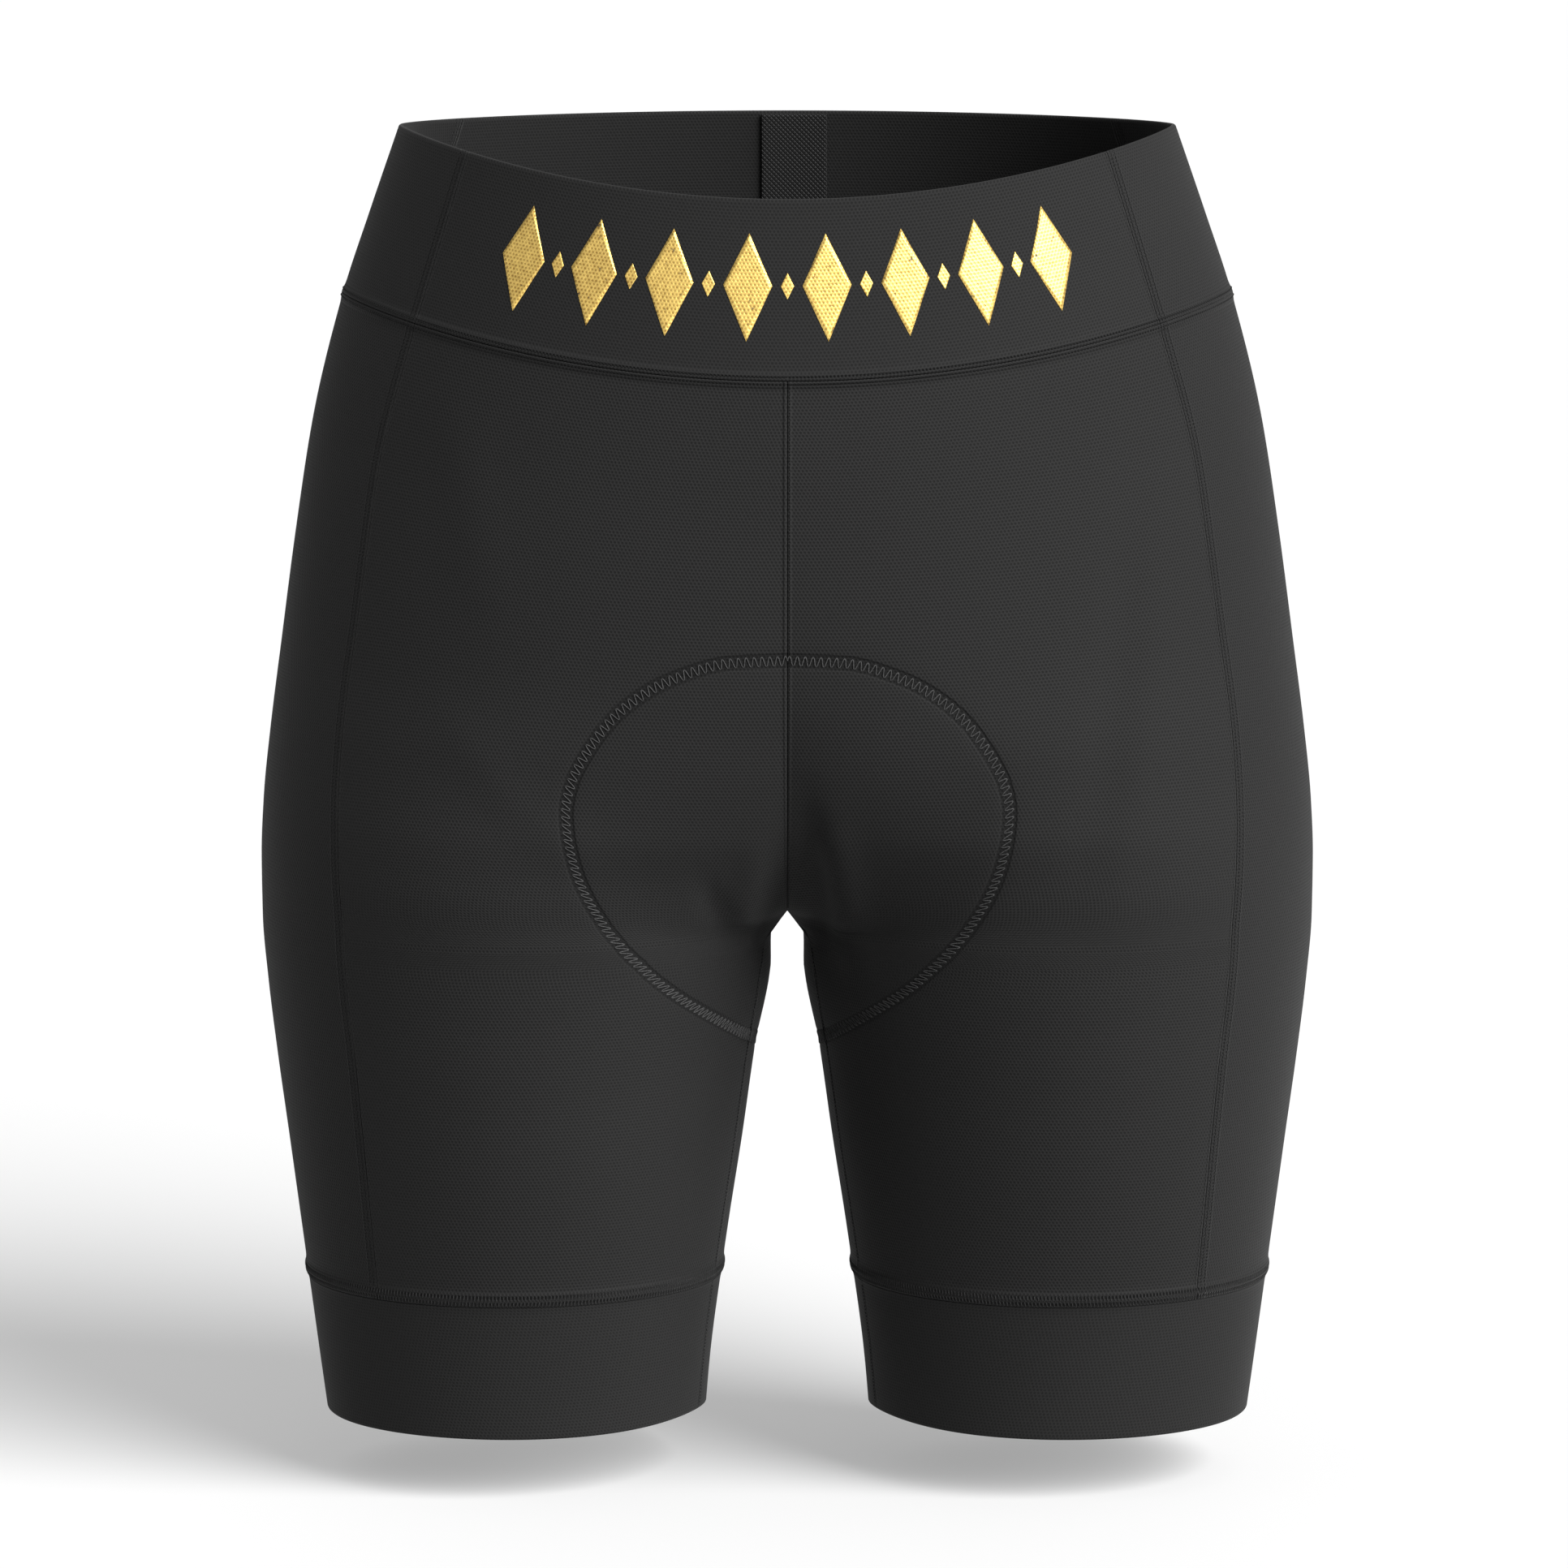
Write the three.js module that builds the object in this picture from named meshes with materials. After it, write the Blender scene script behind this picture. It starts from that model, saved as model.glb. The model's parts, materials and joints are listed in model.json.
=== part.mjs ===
// Cycling shorts in their worn, filled-out form: hollow, open at the waist and at both legs.
// Millimetres, +Z up, front towards -Y, the wearer's left towards +X.
// The origin is the middle of the waist opening, at the height of its sides.
import * as THREE from "three";

// Cloth and clearances
const KNIT = 1.2; // panel cloth
const BAND = 1.7; // doubled cloth of the waistband and leg bands
const STRIP = 1.0; // woven elastic inside the centre back
const SEAM_GAP = 0.3; // between two pieces that meet at a seam
const PAD_GAP = 0.8; // between the pad's outline and the cloth that it is stitched to
const PAD_LOOSE = 2.2; // between the pad's middle and the cloth, where nothing holds it
const PAD_EDGE = 1.6; // pad at its stitched outline
const PAD_MIDDLE = 8; // pad at the crotch
const PAD_SWELL = 1.6; // how far the pad pushes the cloth out
const STRIP_WIDTH = 24;
const STRIP_OFFSET = 2.6; // the strip lies a little to the wearer's left of the middle

// Heights, measured down the outer side from the waist opening
const WAIST_SEAM = 58; // the waistband ends and the panels start
const CROTCH = 276; // the centre seams and inseams meet
const LEG_SEAM = 404; // the panels end and the leg bands start
const HEM = 452.5;

// Where the legs part, their inner sides are drawn in to the crotch seam over a short stretch.
const CROTCH_GAP = 6.2;
const DRAWN_TURN = 0.05;

// The middle seams down to the crotch: how far before and behind the sides they lie, and how
// far down, for each distance down the outer side.
const middle = table(
  ["side", "frontY", "frontDrop", "backY", "backDrop"],
  [
    [0, 97, 22.5, 101, -2],
    [30, 100, 53, 107, 28],
    [WAIST_SEAM, 103, 83, 113, 57],
    [100, 106, 118, 122, 101],
    [140, 106.5, 152, 127, 142],
    [180, 104, 188, 126, 183],
    [210, 97, 215, 117, 214],
    [235, 84, 238, 100, 240],
    [255, 61, 257, 74, 260],
    [268, 32, 270.5, 40, 272],
    [CROTCH, 0, CROTCH, 0, CROTCH],
  ],
);

// The sections, a row for each, named by how far down the outer side it starts.
// half: half width. front, back: depth of the torso's round section before and behind the sides.
// thigh: 0 is one ring round the torso, 1 is a separate round thigh on each side.
// legFront, legBack: depth of the thigh's own section. pull: how sharply rows dip at the middle.
const sections = table(
  ["side", "half", "front", "back", "thigh", "legFront", "legBack", "pull"],
  [
    [0, 134.5, 97, 101, 0, 86, 90, 1],
    [30, 145, 100, 107, 0, 89, 94, 1],
    [WAIST_SEAM, 154.4, 103, 113, 0, 92, 98, 1],
    [100, 165, 106.5, 122, 0, 97, 103, 1],
    [140, 171.5, 112, 129, 0.05, 104, 108, 1.3],
    [180, 177, 117, 140, 0.14, 109, 119, 1.6],
    [210, 181, 120, 146, 0.27, 116, 131, 2],
    [235, 183.6, 119.5, 140.5, 0.42, 116, 133, 2.4],
    [255, 184.5, 112.3, 126.5, 0.58, 112.3, 126.5, 2.8],
    [CROTCH, 184.3, 102.2, 111.2, 0.76, 102.2, 111.2, 3],
    [298, 182.6, 94.7, 100.5, 0.92, 94.7, 100.5, 3],
    [326, 179.4, 88, 92, 1, 88, 92, 3],
    [355, 175.6, 82.5, 85.5, 1, 82.5, 85.5, 3],
    [383, 172, 76, 78, 1, 76, 78, 3],
    [LEG_SEAM, 169.3, 71, 72.3, 1, 71, 72.3, 3],
    [432, 165.7, 65.5, 66.5, 1, 65.5, 66.5, 3],
    [HEM, 163, 62, 63, 1, 62, 63, 3],
  ],
);

// The inner sides of the legs. gap: from the middle of the garment to a leg's inner side.
// drawn: how far the crotch still draws that side in to the middle, from 1 to 0.
const between = table(
  ["side", "gap", "drawn"],
  [
    [0, CROTCH_GAP, 1],
    [CROTCH, CROTCH_GAP, 1],
    [279, CROTCH_GAP, 0.4],
    [284, 6.4, 0.06],
    [298, 7.1, 0],
    [326, 11.7, 0],
    [355, 15.8, 0],
    [383, 20.2, 0],
    [LEG_SEAM, 23.3, 0],
    [432, 27.2, 0],
    [HEM, 29.6, 0],
  ],
);

// Where the long seams run round each half: 0 is the middle of the front, 0.5 the outer side,
// 1 the middle of the back. On a leg, 0 and 1 are both its inner side.
const seams = table(
  ["side", "frontSide", "backSide"],
  [
    [0, 0.298, 0.668],
    [WAIST_SEAM, 0.305, 0.664],
    [106, 0.314, 0.658],
    [157, 0.321, 0.652],
    [206, 0.334, 0.649],
    [240, 0.341, 0.647],
    [268, 0.348, 0.645],
    [302, 0.356, 0.642],
    [LEG_SEAM, 0.356, 0.642],
    [HEM, 0.354, 0.643],
  ],
);
const inseam = table(
  ["side", "turn"],
  [
    [CROTCH, 0],
    [284, 0.036],
    [298, 0.045],
    [326, 0.041],
    [LEG_SEAM, 0.041],
    [HEM, 0.036],
  ],
);

// The pad's outline on each half, round the crotch: way 0 is up the front seam, 0.5 down the
// inseam and 1 up the back seam. turn: how far round from the seam it lies.
const padOutline = table(
  ["way", "turn", "side"],
  [
    [0, 0, 167.5],
    [0.036, 0.037, 168.5],
    [0.074, 0.075, 175],
    [0.113, 0.108, 186.5],
    [0.145, 0.134, 202],
    [0.172, 0.15, 215.5],
    [0.2, 0.158, 227],
    [0.222, 0.1615, 240],
    [0.245, 0.1632, 252],
    [0.257, 0.163, 258],
    [0.268, 0.1627, 264],
    [0.2755, 0.1632, 268],
    [0.282, 0.1648, 272],
    [0.2885, 0.1665, 276],
    [0.294, 0.1635, 279],
    [0.3, 0.1595, 282],
    [0.307, 0.154, 285.5],
    [0.318, 0.1455, 290.5],
    [0.333, 0.134, 295.5],
    [0.352, 0.1195, 300.5],
    [0.378, 0.1, 305.8],
    [0.41, 0.079, 310.5],
    [0.44, 0.05, 315.5],
    [0.5, 0, 321],
    [0.57, 0.073, 314.5],
    [0.61, 0.118, 306],
    [0.645, 0.148, 296.5],
    [0.68, 0.167, 286],
    [0.695, 0.1732, 280],
    [0.7055, 0.1778, 276],
    [0.722, 0.1735, 270],
    [0.74, 0.1712, 262],
    [0.77, 0.173, 250],
    [0.8, 0.174, 236.5],
    [0.85, 0.167, 208],
    [0.9, 0.14, 180],
    [0.94, 0.1, 160],
    [0.97, 0.055, 148],
    [1, 0, 144],
  ],
);

// The swelling over the pad on the front and on the back, about the crotch.
const swell = {
  front: { turn: 0.165, up: CROTCH - 167.5 },
  back: { turn: 0.178, up: CROTCH - 144 },
  down: 321 - CROTCH,
};

// Reads a table by its first column, with its other columns joined by smooth monotone curves.
function table(names, rows) {
  const keys = rows.map((row) => row[0]);
  const last = keys.length - 1;
  const columns = names.slice(1).map((name, i) => {
    const values = rows.map((row) => row[i + 1]);
    const steps = keys.slice(1).map((key, k) => (values[k + 1] - values[k]) / (key - keys[k]));
    const slopes = values.map((_, k) => {
      if (k === 0) return steps[0];
      if (k === last) return steps[last - 1];
      const product = steps[k - 1] * steps[k];
      return product <= 0 ? 0 : (2 * product) / (steps[k - 1] + steps[k]);
    });
    return { name, values, slopes };
  });
  return (key) => {
    const at = Math.min(Math.max(key, keys[0]), keys[last]);
    const next = keys.findIndex((start) => start > at);
    const k = next < 0 ? last - 1 : next - 1;
    const span = keys[k + 1] - keys[k];
    const t = (at - keys[k]) / span;
    const rise = t * t * (3 - 2 * t);
    const found = {};
    for (const { name, values, slopes } of columns) {
      const bend = slopes[k] * t * (1 - t) ** 2 - slopes[k + 1] * t * t * (1 - t);
      found[name] = values[k] * (1 - rise) + values[k + 1] * rise + span * bend;
    }
    return found;
  };
}

// A section of the thigh, with its inner side towards the middle of the garment.
function thighSection(turn, { half, gap, drawn }, depth) {
  const fromInside = Math.min(Math.abs(turn), Math.abs(1 - turn));
  const inwards = drawn * gap * Math.exp(-((fromInside / DRAWN_TURN) ** 2));
  const angle = 2 * Math.PI * turn;
  const x = gap + ((half - gap) / 2) * (1 - Math.cos(angle)) - inwards;
  return new THREE.Vector3(x, -depth * Math.sin(angle), 0);
}

// The outer face of the cloth on the left half, without the swelling over the pad.
// On a leg the turn may run on past its inner side, below 0 or above 1.
function form(anyTurn, side) {
  const turn = side > CROTCH ? anyTurn - Math.floor(anyTurn) : anyTurn;
  const row = { ...sections(side), ...between(side), ...middle(side) };
  const front = turn < 0.5;
  const depth = front ? row.front : row.back;
  const seamY = front ? row.frontY : row.backY;
  const drop = side > CROTCH ? side : front ? row.frontDrop : row.backDrop;
  const angle = Math.PI * turn;
  const inMiddle = Math.abs(Math.cos(angle)) ** (2 * row.pull);
  const thigh = row.thigh + (1 - seamY / depth - row.thigh) * inMiddle;
  const ring = new THREE.Vector3(row.half * Math.sin(angle), -depth * Math.cos(angle), 0);
  const round = thighSection(turn, row, front ? row.legFront : row.legBack);
  return ring.lerp(round, thigh).setZ(-side - (drop - side) * inMiddle);
}

// The outward direction of the cloth on the left half.
function outward(turn, side) {
  const [turnStep, sideStep] = [0.002, 0.4];
  const above = side < CROTCH;
  const onLeg = side > CROTCH;
  const turnFrom = onLeg ? turn - turnStep : Math.max(0, turn - turnStep);
  const turnTo = onLeg ? turn + turnStep : Math.min(1, turn + turnStep);
  const sideFrom = above ? side - sideStep : side;
  const sideTo = above ? Math.min(CROTCH, side + sideStep) : side + sideStep;
  const round = form(turnTo, side).sub(form(turnFrom, side));
  const down = form(turn, sideTo).sub(form(turn, sideFrom));
  return down.cross(round).normalize();
}

// How far the pad pushes the cloth out.
function swelling(turn, side) {
  const nearFront = turn < 0.5 || turn > 1;
  const { turn: width, up } = nearFront ? swell.front : swell.back;
  const across = (nearFront ? turn % 1 : 1 - turn) / width;
  const along = side < CROTCH ? (CROTCH - side) / up : (side - CROTCH) / swell.down;
  const reach = across ** 2 + along ** 2;
  return reach < 1 ? PAD_SWELL * (1 - reach) ** 2 * Math.min(1, 6 * reach) : 0;
}

// A point of the left half at a depth under the cloth's outer face.
function under(turn, side, depth) {
  const lift = swelling(turn, side) - depth;
  return form(turn, side).addScaledVector(outward(turn, side), lift);
}

// A point on either half. Above the crotch the turn runs on past the middle onto the other half,
// and below it a negative turn is on the right leg.
function place(turn, side, depth) {
  const acrossBack = side <= CROTCH && Math.abs(turn) > 1;
  const own = acrossBack ? 2 - Math.abs(turn) : Math.abs(turn);
  const point = under(own, side, depth);
  if (turn < 0 !== acrossBack) point.x = -point.x;
  return point;
}

// The share of a turn that covers a length on the cloth.
function turnOf(length, turn, side) {
  const step = 0.002;
  return (length * step) / place(turn + step, side, 0).distanceTo(place(turn, side, 0));
}

// Distances down the side, evenly spaced between named ones.
function spread(marks, counts) {
  const sides = [marks[0]];
  counts.forEach((count, i) => {
    for (let k = 1; k <= count; k++) {
      sides.push(marks[i] + ((marks[i + 1] - marks[i]) * k) / count);
    }
  });
  return sides;
}

// A closed mesh of two grids of points, an outer and an inner one, joined along their four edges.
function closedWall(outer, inner) {
  const rows = outer.length;
  const columns = outer[0].length;
  const positions = [...outer.flat(), ...inner.flat()].flatMap((p) => [p.x, p.y, p.z]);
  const out = (i, j) => i * columns + j;
  const within = (i, j) => rows * columns + out(i, j);
  const faces = [];
  const quad = (a, b, c, d) => faces.push(a, b, c, a, c, d);
  for (let i = 0; i + 1 < rows; i++) {
    for (let j = 0; j + 1 < columns; j++) {
      quad(out(i, j), out(i + 1, j), out(i + 1, j + 1), out(i, j + 1));
      quad(within(i, j), within(i, j + 1), within(i + 1, j + 1), within(i + 1, j));
    }
    quad(out(i, 0), within(i, 0), within(i + 1, 0), out(i + 1, 0));
    const end = columns - 1;
    quad(out(i, end), out(i + 1, end), within(i + 1, end), within(i, end));
  }
  for (let j = 0; j + 1 < columns; j++) {
    quad(out(0, j), out(0, j + 1), within(0, j + 1), within(0, j));
    const end = rows - 1;
    quad(out(end, j), within(end, j), within(end, j + 1), out(end, j + 1));
  }
  return meshGeometry(positions, faces);
}

function meshGeometry(positions, faces) {
  const geometry = new THREE.BufferGeometry();
  geometry.setAttribute("position", new THREE.Float32BufferAttribute(positions, 3));
  geometry.setIndex(faces);
  geometry.computeVertexNormals();
  return geometry;
}

// A cloth piece between two seams, each given as a turn for every distance down the side.
// top is how deep its outer face lies. A piece that ends at the middle stays on its own side.
function cloth({ from, to, sides, columns, thickness, top = 0, ownSide = 0 }) {
  const grid = (depth) =>
    sides.map((side) => {
      const start = from(side) + turnOf(SEAM_GAP / 2, from(side), side);
      const end = to(side) - turnOf(SEAM_GAP / 2, to(side), side);
      return Array.from({ length: columns + 1 }, (_, j) => {
        const point = place(start + ((end - start) * j) / columns, side, depth);
        if (ownSide && point.x * ownSide < SEAM_GAP / 2) point.x = (ownSide * SEAM_GAP) / 2;
        return point;
      });
    });
  return closedWall(grid(top), grid(top + thickness));
}

const frontSide = (side) => seams(side).frontSide;
const backSide = (side) => seams(side).backSide;
const innerFront = (side) => inseam(side).turn;
const innerBack = (side) => 1 + inseam(side).turn;
const minus = (edge) => (side) => -edge(side);

// Materials
const finish = (color, roughness) =>
  new THREE.MeshStandardMaterial({ color, roughness, metalness: 0 });
const materials = {
  knit: finish(0x2c2c2d, 0.85),
  band: finish(0x29292a, 0.82),
  elastic: finish(0x151516, 0.9),
  pad: finish(0x232326, 0.9),
};

const shorts = new THREE.Group();

function add(name, geometry, material) {
  const mesh = new THREE.Mesh(geometry, material);
  mesh.name = name;
  shorts.add(mesh);
}

// A piece for each half: the right one is the left one turned over.
function addPair(name, { from, to, ...rest }, material) {
  add(`${name}_left`, cloth({ from, to, ownSide: 1, ...rest }), material);
  const right = { from: minus(to), to: minus(from), ownSide: -1, ...rest };
  add(`${name}_right`, cloth(right), material);
}

// Waistband: a front, two sides and a back
const waistSides = spread([0, WAIST_SEAM - SEAM_GAP / 2], [5]);
const waistPiece = { sides: waistSides, thickness: BAND };
add(
  "waistband_front",
  cloth({ ...waistPiece, from: minus(frontSide), to: frontSide, columns: 24 }),
  materials.band,
);
addPair(
  "waistband_side",
  { ...waistPiece, from: frontSide, to: backSide, columns: 10 },
  materials.band,
);
const acrossBack = (side) => 2 - backSide(side);
add(
  "waistband_back",
  cloth({ ...waistPiece, from: backSide, to: acrossBack, columns: 24 }),
  materials.band,
);

// Woven strip inside the centre back, laid on the waistband's inner face
const stripEdge = (offset) => (side) => 1 - turnOf(offset, 1, side);
add(
  "back_strip",
  cloth({
    from: stripEdge(STRIP_OFFSET + STRIP_WIDTH / 2),
    to: stripEdge(STRIP_OFFSET - STRIP_WIDTH / 2),
    sides: spread([1, WAIST_SEAM - 1], [5]),
    columns: 4,
    thickness: STRIP,
    top: BAND + SEAM_GAP,
  }),
  materials.elastic,
);

// Front, side and back panels down to the leg bands
const panelSides = spread(
  [WAIST_SEAM + SEAM_GAP / 2, 220, 268, CROTCH, 284, 298, LEG_SEAM - SEAM_GAP / 2],
  [9, 5, 2, 2, 2, 7],
);
const panel = { sides: panelSides, thickness: KNIT };
addPair("front", { ...panel, from: innerFront, to: frontSide, columns: 13 }, materials.knit);
addPair("side", { ...panel, from: frontSide, to: backSide, columns: 8 }, materials.knit);
addPair("back", { ...panel, from: backSide, to: innerBack, columns: 14 }, materials.knit);

// Leg bands, each a strip that closes on itself at the inseam
addPair(
  "leg_band",
  {
    from: innerFront,
    to: innerBack,
    sides: spread([LEG_SEAM + SEAM_GAP / 2, HEM], [3]),
    columns: 36,
    thickness: BAND,
  },
  materials.band,
);

// The seat pad: rings round the crotch, each a share of the pad's outline, on the left half and
// back on the right one. Its points on the middle line take both halves' faces into account.
const PAD_WAYS = 30;
const PAD_RINGS = [0.07, 0.18, 0.32, 0.48, 0.66, 0.84, 1];

function padPoint(step, share, depth) {
  const right = step > PAD_WAYS;
  const way = (right ? 2 * PAD_WAYS - step : step) / PAD_WAYS;
  const edge = padOutline(way);
  const turn = way <= 0.5 ? share * edge.turn : 1 - share * edge.turn;
  const side = CROTCH + share * (edge.side - CROTCH);
  const onMiddle = way === 0 || way === 1 || share === 0;
  if (!onMiddle) {
    const point = under(turn, side, depth);
    if (right) point.x = -point.x;
    return point;
  }
  const direction = outward(turn, side).setX(0);
  const lift = (swelling(turn, side) - depth) / direction.lengthSq();
  return form(turn, side).setX(0).addScaledVector(direction, lift);
}

// The depths of the pad's two faces, at a share of the way out to its outline.
function padDepths(share) {
  const inside = 1 - share ** 2;
  const lower = KNIT + PAD_GAP + (PAD_LOOSE - PAD_GAP) * inside;
  return [lower, lower + PAD_EDGE + (PAD_MIDDLE - PAD_EDGE) * inside];
}

function seatPad() {
  const around = 2 * PAD_WAYS;
  const [lower, upper] = padDepths(0).map((depth) => [padPoint(0, 0, depth)]);
  for (const share of PAD_RINGS) {
    const [near, far] = padDepths(share);
    for (let step = 0; step < around; step++) {
      lower.push(padPoint(step, share, near));
      upper.push(padPoint(step, share, far));
    }
  }
  const positions = [...lower, ...upper].flatMap((p) => [p.x, p.y, p.z]);
  const faces = [];
  const at = (ring, step) => 1 + ring * around + (step % around);
  const top = lower.length;
  for (let step = 0; step < around; step++) {
    faces.push(0, at(0, step + 1), at(0, step));
    faces.push(top, top + at(0, step), top + at(0, step + 1));
    for (let ring = 0; ring + 1 < PAD_RINGS.length; ring++) {
      const [a, b] = [at(ring, step), at(ring, step + 1)];
      const [d, c] = [at(ring + 1, step), at(ring + 1, step + 1)];
      faces.push(a, c, d, a, b, c);
      faces.push(top + a, top + c, top + b, top + a, top + d, top + c);
    }
    const rim = PAD_RINGS.length - 1;
    const [a, b] = [at(rim, step), at(rim, step + 1)];
    faces.push(a, top + b, top + a, a, b, top + b);
  }
  return meshGeometry(positions, faces);
}
add("seat_pad", seatPad(), materials.pad);

export default shorts;
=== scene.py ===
"""Cycling shorts in their worn form: cloth, sewing, foil border, seat pad and studio.

Tables and sizes are in millimetres; finished meshes are in metres, in the frame of the model.
Left and right are the wearer's own: the wearer's left is +X and the front faces -Y.
"""

from __future__ import annotations

import json
import logging
import math
from dataclasses import dataclass, replace
from enum import Enum
from functools import partialmethod
from typing import Callable, Sequence, Union

import bmesh
import bpy
import numpy as np
from mathutils import Matrix, Vector

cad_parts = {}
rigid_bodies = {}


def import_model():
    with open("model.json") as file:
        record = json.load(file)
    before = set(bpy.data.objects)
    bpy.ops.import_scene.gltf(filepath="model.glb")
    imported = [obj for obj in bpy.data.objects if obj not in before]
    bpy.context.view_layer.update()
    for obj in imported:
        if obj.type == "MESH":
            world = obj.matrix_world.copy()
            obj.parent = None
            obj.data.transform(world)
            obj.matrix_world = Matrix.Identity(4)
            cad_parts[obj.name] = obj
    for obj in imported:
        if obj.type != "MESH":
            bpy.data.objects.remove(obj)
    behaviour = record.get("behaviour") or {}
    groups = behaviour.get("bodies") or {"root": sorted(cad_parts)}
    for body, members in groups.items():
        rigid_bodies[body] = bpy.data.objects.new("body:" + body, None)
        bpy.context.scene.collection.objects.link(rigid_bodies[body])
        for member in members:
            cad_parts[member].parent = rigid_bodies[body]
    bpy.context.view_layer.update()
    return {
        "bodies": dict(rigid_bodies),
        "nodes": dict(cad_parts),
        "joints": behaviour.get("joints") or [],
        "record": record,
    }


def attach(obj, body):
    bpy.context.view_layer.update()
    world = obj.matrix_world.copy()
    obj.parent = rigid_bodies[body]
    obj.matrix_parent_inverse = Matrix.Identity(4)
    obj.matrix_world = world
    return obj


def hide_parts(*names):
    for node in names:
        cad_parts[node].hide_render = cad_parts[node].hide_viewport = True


LOG = logging.getLogger("shorts")
MM = 0.001

# Cloth and clearances, as in the model
KNIT = 1.2
BAND = 1.7
STRIP = 1.0
SEAM_GAP = 0.3
STRIP_WIDTH = 24.0
STRIP_OFFSET = 2.6
TURNED_IN = 0.5

# Heights, measured down the outer side from the waist opening
WAIST_SEAM = 58.0
CROTCH = 276.0
LEG_SEAM = 404.0
HEM = 452.5

# The pad: its top and its widest turn, in front and behind, and its reach below the crotch
PAD_TOP = (167.5, 144.0)
PAD_TURN = (0.165, 0.178)
PAD_BELOW = 45.0

# About how long a whole turn is near the pad
TURN_LENGTH = 620.0

# Sewing: from stitch to stitch, how far rows end before a seam and before a leg band, and the
# zigzag's wave, half its swing and half its thread
STITCH_PITCH = 1.25
ROW_END = 1.5
ROW_END_LOW = 5.0
ZIGZAG_PITCH = 2.62
ZIGZAG_SWING = 2.35
ZIGZAG_RADIUS = 0.19

Array = np.ndarray
Edge = Callable[[Array], Array]


def eased(steps: int) -> Array:
    """Gives steps from 0 to 1 that are closer together near both ends."""
    part = np.linspace(0, 1, steps + 1)
    return part - 0.55 * np.sin(2 * math.pi * part) / (2 * math.pi)


def bell(distance: Array, width: Array) -> Array:
    """Gives a smooth hump, 1 in its middle, that has all but gone at twice its width."""
    return np.exp(-((distance / width) ** 2))


def lengths_along(points: Array) -> Array:
    """Gives how far each of a line's points lies along it."""
    steps = np.linalg.norm(np.diff(points, axis=0), axis=-1)
    return np.concatenate([[0.0], np.cumsum(steps)])


def fixed(turn: float) -> Edge:
    """Gives a seam that stays at one turn."""
    return lambda side: np.full_like(side, turn)


def turned_over(edge: Edge) -> Edge:
    """Gives a seam's turns on the right half."""
    return lambda side: -edge(side)


class Curve:
    """Columns of numbers against a first one, joined by smooth monotone curves."""

    def __init__(self, rows: Sequence[Sequence[float]]) -> None:
        """Works out the slope of each column at each row.

        Args:
            rows: The table; its first column rises from row to row.
        """
        data = np.array(rows, dtype=float)
        self.keys = data[:, 0]
        self.values = data[:, 1:]
        steps = np.diff(self.values, axis=0) / np.diff(self.keys)[:, None]
        product = steps[:-1] * steps[1:]
        total = np.where(product > 0, steps[:-1] + steps[1:], 1.0)
        inner = np.where(product > 0, 2 * product / total, 0.0)
        self.slopes = np.vstack([steps[:1], inner, steps[-1:]])

    def __call__(self, at: Array) -> Array:
        """Reads the table.

        Args:
            at: Values of the first column.

        Returns:
            The other columns, along one more axis at the end.
        """
        at = np.clip(np.asarray(at, dtype=float), self.keys[0], self.keys[-1])
        row = np.clip(np.searchsorted(self.keys, at, side="right") - 1, 0, len(self.keys) - 2)
        span = (self.keys[row + 1] - self.keys[row])[..., None]
        part = (at - self.keys[row])[..., None] / span
        rise = part * part * (3 - 2 * part)
        bend = self.slopes[row] * part * (1 - part) ** 2
        bend = bend - self.slopes[row + 1] * part * part * (1 - part)
        return self.values[row] * (1 - rise) + self.values[row + 1] * rise + span * bend


# side: frontY, frontDrop, backY, backDrop of the middle seams
MIDDLE = Curve(
    [
        [0, 97, 22.5, 101, -2],
        [30, 100, 53, 107, 28],
        [WAIST_SEAM, 103, 83, 113, 57],
        [100, 106, 118, 122, 101],
        [140, 106.5, 152, 127, 142],
        [180, 104, 188, 126, 183],
        [210, 97, 215, 117, 214],
        [235, 84, 238, 100, 240],
        [255, 61, 257, 74, 260],
        [268, 32, 270.5, 40, 272],
        [CROTCH, 0, CROTCH, 0, CROTCH],
    ]
)
# side: half, front, back, thigh, legFront, legBack, pull of the sections
SECTIONS = Curve(
    [
        [0, 134.5, 97, 101, 0, 86, 90, 1],
        [30, 145, 100, 107, 0, 89, 94, 1],
        [WAIST_SEAM, 154.4, 103, 113, 0, 92, 98, 1],
        [100, 165, 106.5, 122, 0, 97, 103, 1],
        [140, 171.5, 112, 129, 0.05, 104, 108, 1.3],
        [180, 177, 117, 140, 0.14, 109, 119, 1.6],
        [210, 181, 120, 146, 0.27, 116, 131, 2],
        [235, 183.6, 119.5, 140.5, 0.42, 116, 133, 2.4],
        [255, 184.5, 112.3, 126.5, 0.58, 112.3, 126.5, 2.8],
        [CROTCH, 184.3, 102.2, 111.2, 0.76, 102.2, 111.2, 3],
        [298, 182.6, 94.7, 100.5, 0.92, 94.7, 100.5, 3],
        [326, 179.4, 88, 92, 1, 88, 92, 3],
        [355, 175.6, 82.5, 85.5, 1, 82.5, 85.5, 3],
        [383, 172, 76, 78, 1, 76, 78, 3],
        [LEG_SEAM, 169.3, 71, 72.3, 1, 71, 72.3, 3],
        [432, 165.7, 65.5, 66.5, 1, 65.5, 66.5, 3],
        [HEM, 163, 62, 63, 1, 62, 63, 3],
    ]
)
# side: gap, drawn of the legs' inner sides
BETWEEN = Curve(
    [
        [0, 6.2, 1],
        [CROTCH, 6.2, 1],
        [279, 6.2, 0.4],
        [284, 6.4, 0.06],
        [298, 7.1, 0],
        [326, 11.7, 0],
        [355, 15.8, 0],
        [383, 20.2, 0],
        [LEG_SEAM, 23.3, 0],
        [432, 27.2, 0],
        [HEM, 29.6, 0],
    ]
)
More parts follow.
